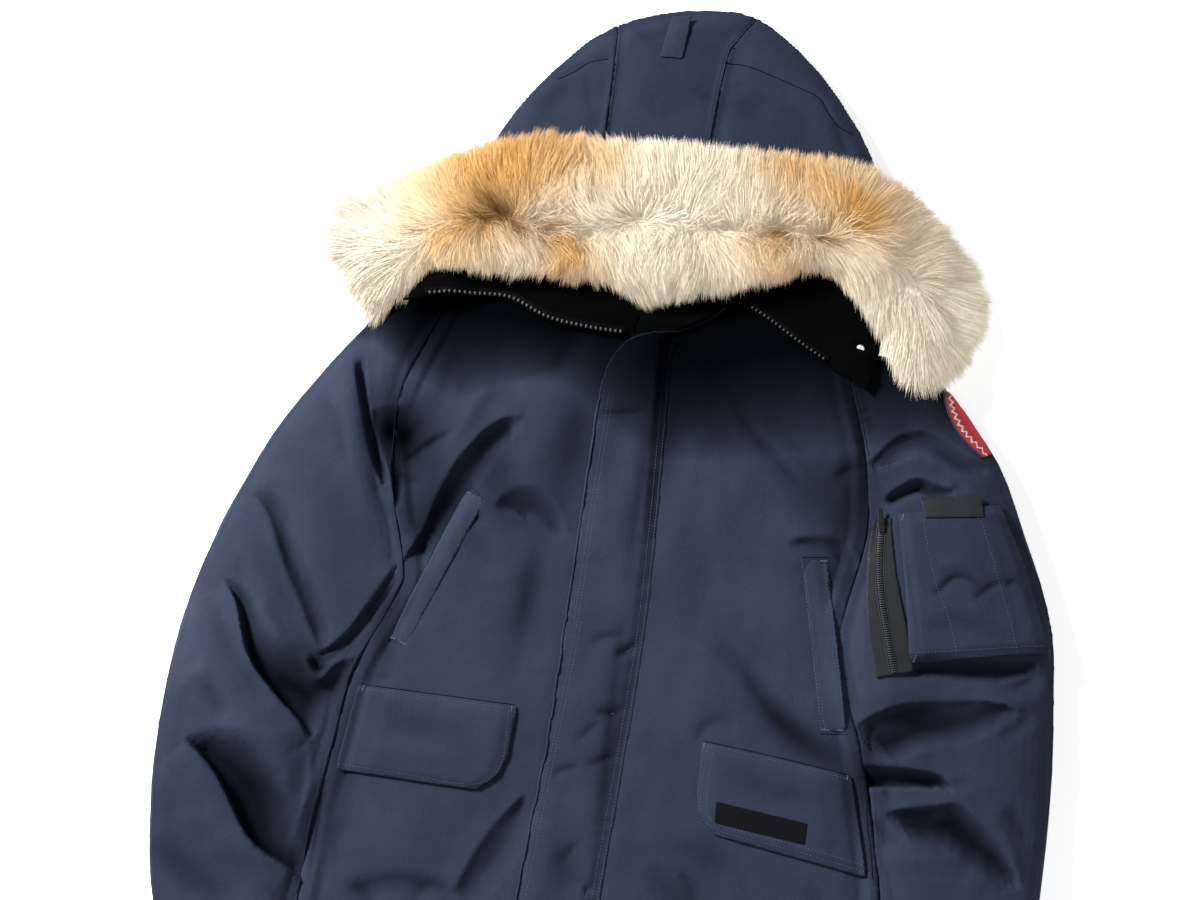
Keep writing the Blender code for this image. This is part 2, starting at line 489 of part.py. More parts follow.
# ---- zip tapes of the front, on the turned-out edges ----
for name, line, n in (("zip_right", ZIP_R, 16), ("zip_left", ZIP_L, 7)):
    a = along(line, n)
    b = moved(a, ZIP_WIDE)
    grid = patch(along([a[0], b[0]], 1), along([a[-1], b[-1]], 1), a, b)
    laid(name, "black_tape", grid, ZIP_THICK, ["collar_right", "collar_left", "front_left"], edge=0.9, wide=2)


def seat(x, y, reach, on):
    """Height that clears the named pieces all round a small hard one."""
    ring = [(x + reach * math.cos(k * math.pi / 6), y + reach * math.sin(k * math.pi / 6)) for k in range(12)]
    return max(height_at(a, b, on) for a, b in ring + [(x, y)]) + SEAM


# ---- hard pieces ----
z = seat(*SNAP_AT, SNAP_R, ["collar_left", "sleeve_left", "front_left"])
bm = bmesh.new()
bmesh.ops.create_cone(bm, cap_ends=True, segments=16, radius1=SNAP_R, radius2=SNAP_R * 0.7, depth=SNAP_TALL)
bmesh.ops.translate(bm, vec=(*SNAP_AT, z + SNAP_TALL / 2), verts=bm.verts)
finish("snap", bm, "snap_metal")

# the slider stands on the pocket's zip, and its pull lies flat beside it on a hinge across the slider
x, y = SLIDER_AT
run, across = (math.cos(SLIDER_TURN), math.sin(SLIDER_TURN)), (-math.sin(SLIDER_TURN), math.cos(SLIDER_TURN))
z = seat(x, y, 4.5, ["sleeve_left", "sleeve_pocket", "pocket_zip"])
block("pocket_slider", "zip_metal", (11, 7, 3.4), (0, 0, 1.7), (x, y, z), SLIDER_TURN)
HINGE = (x - run[0] * 4.0, y - run[1] * 4.0, z + 3.4 + SEAM + TAB_THICK / 2)
block("pull_tab", "zip_metal", (TAB_LONG, TAB_WIDE, TAB_THICK), (-run[0] * TAB_LONG / 2, -run[1] * TAB_LONG / 2, 0),
      HINGE, SLIDER_TURN, 0.4)
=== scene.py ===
"""Looks of a navy hooded down jacket with a fur ruff, laid flat with its front up, on a pale studio floor.

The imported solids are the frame. Each sewn piece is an evenly meshed copy of its solid, given creases, puckers
and stitches. Tables are in mm in the jacket's plan: x to the wearer's left, y to the hood. A curve in a table
runs from its first point, and left and right are its own sides."""
import math

import bmesh
import bpy
import numpy as np
from bpy.props import FloatProperty, FloatVectorProperty, IntProperty, PointerProperty
from mathutils import Matrix, Vector, kdtree, noise
from mathutils.bvhtree import BVHTree


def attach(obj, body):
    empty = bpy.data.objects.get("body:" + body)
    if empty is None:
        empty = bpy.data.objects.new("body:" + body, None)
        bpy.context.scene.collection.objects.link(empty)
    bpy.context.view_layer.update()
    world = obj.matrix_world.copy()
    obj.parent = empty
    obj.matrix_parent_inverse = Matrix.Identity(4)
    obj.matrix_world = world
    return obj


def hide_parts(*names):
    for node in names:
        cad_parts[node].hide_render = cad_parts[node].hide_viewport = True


bl_info = {"name": "Hooded down jacket", "version": (1, 0, 0), "blender": (4, 5, 0),
           "location": "View3D > Sidebar > Jacket", "category": "Object",
           "description": "Cloth, fur, zips and stitches of a hooded down jacket around its packed solids"}

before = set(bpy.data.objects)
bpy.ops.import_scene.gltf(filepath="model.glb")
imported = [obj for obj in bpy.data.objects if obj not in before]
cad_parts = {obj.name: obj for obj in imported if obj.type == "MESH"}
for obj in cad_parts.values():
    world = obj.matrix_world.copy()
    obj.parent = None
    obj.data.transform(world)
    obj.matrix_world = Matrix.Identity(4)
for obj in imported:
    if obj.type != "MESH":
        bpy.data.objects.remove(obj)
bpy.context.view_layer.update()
BODY = "jacket"
MM = 0.001

# the filled panels, on which everything else lies, and what the ruff lies on
CAD_BASE = ["back", "front_right", "front_left", "sleeve_right", "sleeve_left", "hood_side_right",
            "hood_centre", "hood_side_left"]
UNDER_RUFF = CAD_BASE + ["collar_right", "collar_left"]

# ---- single values, in mm ----
INSIDE = 21.0  # height of the flattened inside, over which a crease may not sink
BACK_FLOOR = 60.0  # higher than all of the back, whose upper side lies inside the jacket and stays smooth
CUFF_END, CUFF_MIDDLE, CUFF_MOUTH = -512, 20.5, 12  # where it ends, its middle height, and how deep it opens
BODY_TO_SLEEVE = 5.5  # how far the body swells towards the sleeves
SEAM_CLOSING, HOOD_SEAM_CLOSING = 1.5, 3.5  # how far the cloth along a seam swells towards its neighbour
NARROW = 9  # a ridge or trough narrower than this has a sharper middle
LAP_LEAN_REACH = 9  # how far up its rise the crest of a lapped fold leans over
GROOVE, PUCKER_LENGTH, PUCKER_REACH = 2.6, 10, 26  # beside a seam
STORM_SEWN_WIDTH = 15  # on each side of its sewn edge the storm flap lies flat
STORM_TOP, STORM_TUCK = (276, 294), (6, 13, -1.5)  # where its top runs on under the collar, and by how much
STORM_SEWN_X, STORM_WIDTH = 42, 72  # x of its sewn edge, and from there to its free edge
STORM_WIDER, STORM_WIDENS = 7.5, (-171, -29)  # how much wider it is at the top, and where it widens
COLLAR_LONGER = 11  # each front of the collar by a share of this, which grows between two places
COLLAR_ENDS = {"collar_right": (1.0, -34, -12), "collar_left": (1.5, 212, 234)}
SNAP_SINK = 5  # how deep the snap is pressed into the collar
TAB_LONGER, TAB_END = 7, (655, 690)  # how much longer the hood's tab is, and where it grows
CORD_STEP = 2.6
RUFF_REACH = 90.0  # longest way from the root of a hair to the ruff's outline
CHEVRON_RISE, CHEVRON_IN, CHEVRON_HALF, WHIPPED_EDGE, PATCH_THREAD = 4.5, 6.2, 1.25, 2.6, 0.35
PATCH_RUN = 92  # the arm patch's edge, from end to end

# ---- in metres ----
ABOVE_ALL = 0.4  # from where rays look down
CORD_BREAK = 0.012  # a cord has a gap where its points are farther apart than this
SHORTEST_HAIR, LONGEST_HAIR = 0.012, 0.075
SNAP_REACH = 0.009  # how far round the snap the collar is pressed in
FLOOR_HALF, FLOOR_GAP = 9.0, 0.0003
STORM_GRID, COLLAR_GRID, LABEL_GRID, PATCH_GRID, PELT_GRID = 0.0023, 0.0026, 0.0007, 0.0008, 0.005
STITCH_SIZE = (0.0027, 0.00075, 0.0006)  # length, width and height

# ---- shares and counts ----
LAP_ENDS = 0.1  # part of a lapped fold's way over which it fades at each end
LAP_LEAN = 0.16  # lean of its crest over its valley, as a share of the valley's depth
STORM_CREASE = 1.6  # strength of the storm flap's creases
# painted shade: the first darkens the hood's cloth, the second is the darkest the ruff's painted shadow goes
HOOD_SHADE, DARKEST = 0.80, 0.035  # tone of the hood, and the least tone under the ruff
STEEPEST = 0.15  # nothing is set where the cloth's normal has less upward part than this
SAMPLES = 9000  # points of a piece whose height over the cloth is looked up
HAIR_TONES = (0.9, 0.96, 1.0, 1.03)  # from root to tip
HAIR_TAPER = (0.8, 1.0, 0.75, 0.1)
BROAD_LOCKS, SMALL_LOCKS, BROAD_PULL = 420, 5200, 0.22  # numbers, and how far broad ones draw in tips
PELT_WIDTH, PELT_HEIGHT = 0.66, 0.55  # the pelt under the hairs, as shares of the solid

# ---- edges and seams in plan ----
RAGLAN_R = [(-222, 322), (-242, 262), (-257, 216), (-261, 175), (-257, 125), (-244, 70), (-226, 20),
            (-219, -10)]
RAGLAN_L = [(230, 322), (240, 286), (256, 242), (268, 205), (276, 155), (278, 110), (270, 60), (262, 15),
            (262, -18)]
HOOD_SEAM_R = [(-76, 362), (-79, 450), (-80, 542), (-83, 636), (-86, 680)]
HOOD_SEAM_L = [(38, 364), (40, 450), (42, 560), (48, 656), (57, 680), (74, 714)]
YOKE_R = [(-145, 601), (-126, 613), (-111, 626), (-90, 634)]
YOKE_L = [(47, 649), (64, 650), (86, 646), (111, 639), (135, 632), (160, 623), (171, 609), (182, 596),
          (194, 589), (206, 586)]
STORM_FREE = [(-10, 294), (-19, 284), (-30, 229), (-30, 104), (-29, -29), (-35, -171), (-42, -328),
              (-40, -426)]
STORM_SEWN = [(35, 294), (36, 284), (40, 229), (47, 104), (52, -29), (50, -171), (46, -328), (44, -426)]
ZIP_R = [(-249, 309), (-221, 315), (-161, 323), (-111, 305.5), (-63, 300), (-20, 300.5)]
ZIP_L = [(112, 354.5), (138, 341), (175, 319), (208, 302)]
POCKET_ZIP = [(290.5, 135), (293, 84), (302, 37), (323, -34)]
HEM_R = [(-258, -412), (-128, -415), (-2, -416)]
HEM_L = [(8, -416), (170, -414), (334, -412)]
CUFF_R = [(-392, -492), (-330, -494), (-274, -492)]
CUFF_L = [(458, -492), (400, -494), (341, -492)]
PATCH_EDGE = [(341, 291), (348, 266), (364, 241), (391, 220)]

# ---- creases ----
# a ridge or, with its height below 0, a trough: curve, width to its left, width to its right, height
# a lapped fold: curve of its crest, width of the rise on its left, height of the crest, widths of the steep
# side along it, depth of the valley on its right, width (or widths) over which the cloth comes back up
CREASES = {
    "sleeve_right": [
        ([(-260, 86), (-273, 105), (-285, 128), (-295, 155), (-303, 179), (-312, 203), (-318, 226)], 32, 1.5,
         (4, 9, 9, 5, 6, 9, 8), 9, 6),
        ([(-241, 64), (-249, 89), (-260, 109), (-272, 126), (-282, 140), (-289, 158), (-289, 173),
          (-278, 180), (-260, 184), (-236, 185)], 8, 1.5, (3, 9, 14, 22, 29, 36, 43, 48, 45, 9), 9, 5),
        ([(-293, -104), (-310, -80), (-327, -52), (-343, -29), (-360, 1), (-374, 28), (-385, 43), (-399, 56)],
         24, 1.5, (6, 12, 13, 13, 12, 12, 10, 4), 6.5, 15),
        ([(-287, -198), (-299, -185), (-312, -174), (-325, -165), (-338, -154), (-351, -143), (-363, -131),
          (-374, -116), (-382, -100), (-388, -83), (-393, -69), (-401, -56), (-413, -43)], 49, 5, (5, 5), 17,
         (6, 26, 39, 50, 58, 56, 48, 39, 32, 28, 22, 13, 6)),
        ([(-265, -346), (-286, -335), (-309, -325), (-328, -313), (-344, -297), (-362, -274), (-382, -250),
          (-401, -233), (-421, -220)], 54, 6, (5, 5), 19, (11, 26, 43, 58, 69, 73, 65, 41, 9)),
        ([(-424, -212), (-403, -210), (-373, -205), (-347, -207), (-322, -223), (-298, -248), (-282, -274)],
         20, 14, 6),
        ([(-366, -54), (-353, -78), (-335, -99), (-315, -113), (-297, -118)], 10, 11, 4.5),
        ([(-288, -321), (-286, -300), (-282, -274), (-279, -250), (-281, -224), (-287, -200)], 4.3, 8.6, 4),
        ([(-350, 177), (-333, 168), (-321, 155), (-311, 131), (-298, 105)], 6.5, 6.5, -2.5),
        ([(-409, -156), (-394, -172), (-379, -191)], 9.7, 9.7, -3.5),
        ([(-436, -167), (-426, -151), (-404, -141)], 9.7, 9.7, 3),
        ([(-402, -19), (-394, -38), (-387, -50)], 6.5, 6.5, -2),
        ([(-296, -106), (-272, -82), (-248, -38), (-233, -4), (-228, 6)], 24, 3, (3, 4, 3, 2, 1.5), 5,
         (7, 7, 4, 2, 1)),
        ([(-226, -14), (-240, -44), (-258, -76), (-276, -104), (-296, -116)], 3, 3, -4),
        ([(-308, -110), (-300, -125), (-288, -131), (-275, -113), (-256, -102)], 4, 6, 8),
        ([(-301, -110), (-293, -120), (-285, -120)], 4, 4, -9),
        ([(-340, -144), (-310, -152), (-286, -147), (-264, -122)], 11, 15, -7),
        ([(-436, -330), (-392, -352), (-336, -384)], 16, 14, -6),
        ([(-420, -400), (-370, -428), (-296, -424)], 14, 16, -7),
        ([(-396, -470), (-384, -488), (-378, -508)], 5, 6, -3),
        ([(-352, -462), (-346, -484), (-347, -508)], 6, 5, -3),
        ([(-310, -466), (-306, -486), (-309, -508)], 5, 5, -3)],
    "sleeve_left": [
        ([(267, 194), (277, 208), (286, 222), (300, 234), (318, 240), (337, 239), (354, 233), (378, 221),
          (403, 211)], 24, 2, (6, 13, 15, 16, 16, 16, 16, 14, 5), 7, 13),
        ([(288, 155), (295, 167), (310, 180), (326, 187), (346, 183), (368, 179)], 17, 3,
         (9, 13, 14, 14, 12, 5), 9, 6),
        ([(329, 206), (352, 198), (375, 190), (401, 171)], 2.7, 2.7, 1.6),
        ([(342, 243), (366, 227), (396, 214)], 2.7, 2.7, 1.4),
        ([(283, 195), (302, 203), (320, 210)], 2.2, 2.2, -1.6),
        ([(333, -21), (354, -8), (391, -3), (434, 2), (477, 8)], 22, 0, (9, 17, 19, 19, 9), 10, 9),
        ([(368, -37), (384, -35), (397, -34)], 2.2, 2.2, -1.4),
        ([(450, -31), (469, -19), (480, -2)], 8.6, 6.5, -4),
        ([(300, -56), (363, -42), (437, -31)], 10.8, 10.8, 2.5),
        ([(285, -96), (298, -82), (312, -72), (333, -62), (354, -56), (385, -50), (417, -45), (439, -45),
          (452, -48), (463, -53)], 22, 4, (28, 37, 39, 36, 32, 28, 22, 13, 6, 3), 13, 24),
        ([(295, -128), (314, -129), (340, -128), (362, -128), (384, -130), (395, -137), (403, -146)], 24, 3,
         (24, 24, 21, 18, 15, 9, 3), 15, 4),
        ([(308, -162), (322, -155), (343, -149), (375, -147), (401, -146)], 3.2, 13, 3),
        ([(332, -180), (346, -172), (366, -166), (387, -160), (402, -156), (417, -160), (431, -171),
          (448, -185), (464, -201), (476, -218), (484, -235)], 19, 3,
         (4, 14, 24, 28, 29, 29, 26, 22, 16, 10, 4), 14, 24),
        ([(313, -189), (327, -195), (339, -206), (349, -212)], 6.5, 5.4, -5),
        ([(311, -166), (315, -196), (321, -221), (327, -251)], 1.9, 1.9, -1.2),
        ([(435, -164), (453, -178), (467, -194), (477, -213)], 7.6, 6.5, 3.5),
        ([(456, -156), (473, -171), (488, -190)], 9.7, 10.8, -4),
        ([(443, -84), (461, -69), (474, -51)], 9.7, 9.7, -4),
        ([(346, -318), (390, -342), (482, -330)], 14, 18, -6),
        ([(348, -410), (400, -436), (466, -410)], 14, 16, -7),
        ([(366, -462), (364, -486), (368, -508)], 5, 6, -3),
        ([(404, -466), (408, -486), (404, -508)], 6, 5, -3),
        ([(442, -466), (440, -486), (444, -508)], 5, 5, -3)],
    "front_right": [
        ([(-241, 65), (-250, 90), (-260, 110), (-272, 127), (-283, 141), (-290, 159), (-290, 174),
          (-279, 181), (-260, 185), (-237, 185)], 8, 1.5, (3, 9, 14, 22, 29, 36, 43, 48, 45, 9), 9, 5),
        ([(-245, 118), (-233, 127), (-221, 139), (-206, 152), (-194, 161)], 3.2, 7.6, -4.5),
        ([(-246, 108), (-236, 100), (-219, 99)], 4.3, 6.5, -3),
        ([(-223, 9), (-214, 32), (-207, 57), (-202, 80), (-195, 104), (-186, 127), (-175, 147), (-162, 167),
          (-148, 181), (-133, 189), (-117, 189)], 26, 4, (4, 11, 15, 19, 24, 24, 21, 19, 19, 18, 6), 9, 17),
        ([(-235, 87), (-223, 60), (-221, 32)], 8.6, 8.6, -4),
        ([(-135, 81), (-129, 96), (-118, 107), (-103, 114), (-86, 113), (-71, 104), (-59, 89), (-48, 65)], 24,
         2, (6, 22, 30, 32, 30, 24, 15, 5), 6, 13),
        ([(-77, 49), (-78, 15), (-79, -19), (-82, -63)], 13, 13, -3),
        ([(-197, 272), (-207, 239), (-212, 208), (-215, 179)], 11.9, 11.9, -3),
        ([(-193, 143), (-180, 173), (-169, 203), (-160, 225)], 9.7, 9.7, 2.5),
        ([(-129, 235), (-103, 248), (-77, 259)], 8.6, 8.6, -2),
        ([(-88, 284), (-76, 282), (-63, 281)], 2.2, 2.2, -1),
        ([(-170, 76), (-156, 70), (-140, 67)], 5.4, 5.4, -3),
        ([(-168, 89), (-159, 87), (-147, 82)], 3.2, 3.2, -2),
        ([(-111, -335), (-102, -306), (-92, -281), (-81, -259), (-67, -238), (-51, -217)], 28, 2,
         (15, 19, 23, 23, 16, 6), 6, 24),
        ([(-216, -341), (-202, -346), (-186, -357)], 6.5, 6.5, -5),
        ([(-148, -350), (-139, -332), (-122, -329), (-105, -338)], 8.6, 8.6, -5),
        ([(-241, -276), (-239, -302), (-232, -325)], 7.6, 7.6, -3),
        ([(-212, -53), (-204, -51), (-191, -50)], 4.3, 4.3, -1.5),
        ([(-233, -120), (-222, -121), (-209, -118)], 4.3, 4.3, -2),
        ([(-210, -343), (-170, -330), (-130, -328)], 10, 12, -5),
        ([(-258, -232), (-259, -280), (-256, -330)], 8, 8, -4),
        ([(-70, 292), (-84, 262), (-92, 232)], 12, 14, -2),
        ([(-236, -372), (-200, -392), (-150, -398)], 12, 12, -4)],
    "front_left": [
        ([(117, 235), (135, 216), (151, 201), (172, 185), (200, 160)], 5.4, 7.6, -5),
        ([(140, 220), (163, 202), (194, 179), (224, 165)], 6.5, 6.5, 2.5),
        ([(170, 216), (186, 206), (206, 191)], 3.2, 3.2, -2),
        ([(234, 172), (249, 186), (266, 191)], 6.5, 8.6, -5),
        ([(232, 286), (249, 253), (260, 220), (271, 187), (286, 150)], 10.8, 8.6, -5),
        ([(193, 98), (228, 107), (250, 107), (263, 96), (275, 79)], 22, 2, (6, 13, 15, 13, 6), 5, 11),
        ([(130, -34), (152, -44), (170, -57), (187, -75), (203, -91), (220, -104), (238, -115), (261, -127),
          (284, -138)], 10.8, 9.7, -6),
        ([(122, -137), (130, -121), (145, -112), (164, -109)], 8.6, 8.6, -2.5),
        ([(125, -274), (139, -286), (150, -304)], 8.6, 8.6, -4),
        ([(211, 45), (220, 42), (232, 37)], 4.3, 4.3, -1.5),
        ([(82, 101), (101, 48), (106, -18)], 21.6, 21.6, -1.5),
        ([(90, -270), (150, -312), (236, -330)], 14, 16, -5),
        ([(262, -270), (284, -300), (300, -352)], 10, 12, -4),
        ([(200, -384), (260, -392), (310, -380)], 12, 12, -4)],
    "storm_flap": [
        ([(-26, 205), (-7, 209), (17, 215)], 3.2, 5.4, -2.2),
        ([(0, -48), (16, -39), (32, -37)], 5.4, 5.4, -2),
        ([(25, -59), (37, -51), (47, -38)], 5.4, 5.4, -3.2),
        ([(13, -121), (28, -121), (41, -115)], 5.4, 5.4, -2.8),
        ([(12, -180), (29, -170), (43, -164)], 5.4, 5.4, -2.4),
        ([(-24, -196), (-11, -187), (4, -182)], 4.3, 5.4, -1.6),
        ([(-2, -155), (8, -143), (18, -132)], 5.4, 5.4, -1.5),
        ([(-1, -287), (5, -274), (16, -259)], 7.6, 7.6, -1.8),
        ([(14, -314), (24, -310), (36, -304)], 5.4, 5.4, -2.2),
        ([(26, 195), (26, 138), (26, 81), (28, 14)], 10.8, 6.5, -1.8),
        ([(28, 3), (29, -63), (30, -128), (33, -202), (33, -276)], 9.7, 6.5, -1.5),
        ([(-34, -340), (-16, -334), (2, -336)], 6, 7, -2),
        ([(10, -372), (28, -366), (42, -368)], 6, 7, -2)],
    "hood_side_right": [
        ([(-158, 550), (-143, 577), (-119, 601)], 17.3, 17.3, -3),
        ([(-109, 613), (-108, 592), (-100, 569)], 8.6, 8.6, -2)],
    "hood_centre": [
        ([(-49, 607), (-11, 588), (23, 598)], 17.3, 17.3, -2),
        ([(-59, 672), (-41, 670), (-26, 676)], 4.3, 6.5, -2),
        ([(14, 609), (31, 604), (46, 601)], 5.4, 5.4, -1.6),
        ([(5, 683), (28, 683), (52, 684)], 4.3, 5.4, -2)],
    "hood_side_left": [
        ([(50, 602), (81, 597), (109, 609)], 15.1, 15.1, -2.5),
        ([(182, 595), (194, 575), (203, 558)], 6.5, 7.6, -2.5),
        ([(57, 673), (83, 668), (118, 658)], 2.7, 2.7, 1.4),
        ([(53, 618), (64, 621), (77, 627)], 5.4, 5.4, -1.5)],
    "flap_right": [([(-216, -150), (-170, -166), (-110, -158)], 12, 14, -1.4),
                   ([(-230, -200), (-180, -192), (-130, -200)], 10, 12, 1.2)],
    "flap_left": [([(160, -158), (210, -176), (280, -176)], 12, 14, -1.4)],
    "sleeve_pocket": [
        ([(356, 58), (374, 79), (390, 81), (406, 75)], 5, 4, -3.6),
        ([(398, 58), (412, 73), (428, 83)], 5, 4, -3),
        ([(430, 78), (440, 86), (452, 84)], 4, 4, -2.2),
        ([(350, 84), (372, 94), (404, 92)], 8, 7, 2.2),
        ([(344, 20), (388, 34), (440, 26)], 10, 12, -1.6),
        ([(313, 118), (320, 84), (332, 40), (344, -12)], 3.5, 9, 2.2)],
    "collar_right": [([(-230, 330), (-180, 344), (-120, 336)], 8, 10, -2.5),
                     ([(-100, 316), (-60, 330), (-30, 324)], 7, 8, -2)],
    "collar_left": [([(30, 330), (60, 352), (100, 372)], 8, 9, -3),
                    ([(120, 366), (160, 350), (210, 330)], 8, 9, -2.5),
                    ([(10, 318), (50, 322), (84, 350)], 5, 6, 2)]}

# creases on the underside rise from the floor: curve, width to each side, height
UNDER = {
    "back": [([(-200, 220), (-90, 150), (60, 170)], 22, 16, 4),
             ([(210, 210), (120, 120), (60, 10)], 20, 14, 4),
             ([(-210, 60), (-120, -10), (-60, -120)], 18, 22, 4),
             ([(230, -60), (140, -130), (20, -150)], 16, 22, 4),
             ([(-220, -220), (-80, -260), (120, -240)], 20, 16, 3.5),
             ([(260, -330), (120, -350), (-60, -330)], 18, 18, 3)],
    "sleeve_right": [([(-300, 200), (-340, 120), (-390, 60)], 18, 12, 4),
                     ([(-410, -40), (-350, -90), (-290, -110)], 14, 20, 5),
                     ([(-430, -180), (-370, -240), (-300, -280)], 16, 20, 5),
                     ([(-410, -380), (-340, -400), (-290, -390)], 14, 14, 4)],
    "sleeve_left": [([(300, 200), (360, 130), (440, 110)], 16, 14, 4),
                    ([(320, -60), (400, -40), (480, -60)], 18, 12, 5),
                    ([(330, -180), (400, -210), (480, -260)], 18, 14, 5),
                    ([(350, -390), (410, -410), (470, -390)], 14, 14, 4)],
    "hood_centre": [([(-60, 500), (-10, 560), (20, 640)], 16, 16, 3)],
    "hood_side_right": [([(-200, 480), (-150, 540), (-120, 600)], 14, 18, 3.5)],
    "hood_side_left": [([(220, 480), (160, 540), (110, 640)], 18, 14, 3.5)]}

# places the light reaches less: x, y, half widths, turn in degrees, share of the tone taken away
SHADED_HOLLOWS = {
    "front_right": [(-62, 178, 30, 84, 0, 0.62), (-210, 50, 20, 48, -6, 0.6), (-180, 74, 34, 42, 0, 0.6),
                    (-138, 128, 26, 44, 20, 0.45), (-105, 90, 40, 26, 0, 0.3), (-248, -220, 20, 100, 0, 0.5),
                    (-224, -44, 16, 36, -20, 0.6), (-226, -84, 16, 30, 0, 0.4), (-82, -10, 14, 50, 0, 0.4),
                    (-236, 140, 30, 60, 10, 0.3), (-248, 150, 32, 42, 0, 0.97), (-247, 98, 13, 40, 0, 0.6)],
    "front_left": [(46, 200, 14, 80, 0, 0.4), (268, 165, 32, 90, -6, 0.65), (214, 158, 50, 36, -30, 0.45),
                   (205, -98, 26, 13, -38, 0.45), (240, -122, 50, 20, -25, 0.55),
                   (300, -150, 16, 40, 0, 0.55), (240, 66, 34, 18, -10, 0.4), (140, -250, 40, 16, -10, 0.3)],
    "storm_flap": [(44, 150, 12, 120, 0, 0.4), (-20, 160, 20, 50, 0, 0.35), (32, -150, 12, 90, 0, 0.45),
                   (2, -290, 16, 30, 0, 0.45)],
    "flap_left": [(300, -160, 26, 40, 0, 0.5)],
    "sleeve_right": [(-300, -132, 34, 38, 10, 0.6), (-332, -258, 50, 26, -38, 0.5),
                     (-272, -300, 12, 44, 0, 0.5), (-232, -44, 14, 36, -20, 0.5),
                     (-290, -306, 12, 30, 15, 0.3), (-285, 0, 44, 80, 10, 0.2), (-264, 154, 24, 42, 8, 0.97),
                     (-436, -300, 50, 120, 0, 0.25)],
    "sleeve_left": [(283, 180, 18, 60, -10, 0.3), (358, -78, 46, 20, -4, 0.4), (300, -150, 18, 34, 0, 0.5),
                    (303, -116, 38, 22, 0, 0.4), (416, -192, 24, 24, 35, 0.3)]}

# painted shadow of the ruff, where the light fades: x, y up to which the cloth is fully lit, distance over
# which its tone falls
RUFF_SHADOW_TONE = [(-300, 250, 16), (-257, 222, 19), (-195, 196, 32), (-145, 224, 24), (-90, 236, 18),
             (-60, 224, 27), (-27, 193, 36), (34, 162, 38), (90, 170, 34), (144, 182, 40), (224, 203, 41),
             (278, 214, 36), (330, 222, 40), (384, 240, 44)]

# where a sleeve and a front meet, both stay full up to the line: curve,
# distance inward, neighbour, dip at the line
JOIN_R = RAGLAN_R + [(-231, -50), (-251, -104), (-258, -150), (-261, -205), (-267, -257), (-268, -322),
                     (-266, -440)]
JOIN_L = RAGLAN_L + [(275, -60), (293, -105), (306, -140), (316, -175), (325, -215), (336, -260), (342, -330),
                     (342, -440)]
JOINS = {
    "front_right": (JOIN_R, 22, "sleeve_right", 2.5), "sleeve_right": (JOIN_R, -22, "front_right", 0.5),
    "front_left": (JOIN_L, -22, "sleeve_left", 2.5), "sleeve_left": (JOIN_L, 22, "front_left", 0.5)}

# seams that draw the cloth in: curve, depth of the groove, height of the puckers, distance from one pucker to
# the next, and on the hood how far the cloth beside the seam comes up to meet its neighbour
SEAMS = {
    "sleeve_right": [(RAGLAN_R[:5], 0.5, 0.5, 16), (CUFF_R, 1.0, 1.0, 12)],
    "sleeve_left": [(RAGLAN_L[:5], 0.5, 0.8, 15), (CUFF_L, 1.0, 1.0, 12)],
    "front_right": [(RAGLAN_R[:5], 0.5, 0.5, 17), (HEM_R, 1.0, 1.0, 14)],
    "front_left": [(RAGLAN_L[:5], 0.5, 0.8, 16), (HEM_L, 1.0, 1.0, 14)],
    "hood_side_right": [(HOOD_SEAM_R, 0.3, 0.4, 11, 5), (YOKE_R, 1.5, 0.3, 12)],
    "hood_centre": [(HOOD_SEAM_R, 0.3, 0.4, 10, 5), (HOOD_SEAM_L, 0.3, 0.4, 12, 5)],
    "hood_side_left": [(HOOD_SEAM_L, 0.3, 0.4, 11, 5), (YOKE_L, 1.5, 0.3, 12)]}

# the top of the storm flap's corded edge
PIPING_TOP = [(-33, 262), (-20, 288), (2, 302), (38, 314), (66, 330), (87, 348)]
# painted shadow: fine dark cords where two pieces meet: curve and distance to its left
SEAM_SHADOW_LINES = [
    (RAGLAN_R[:5], 0), (RAGLAN_L[1:4], 0), (HOOD_SEAM_R, 0), (HOOD_SEAM_L, 0), (YOKE_R, 0), (YOKE_L, 0),
    ([(-244, -131), (-160, -129.5), (-75, -128)], 0.6), ([(290, -147), (210, -140), (131, -135)], -0.6),
    ([(311, -166), (315, -196), (321, -221), (327, -251)], 0),
    ([(-224, -80), (-200, -4), (-170, 96), (-146, 90)], 0),
    ([(208, 79), (238, 84)], 0), ([(254, -108), (281, -104)], 0)]

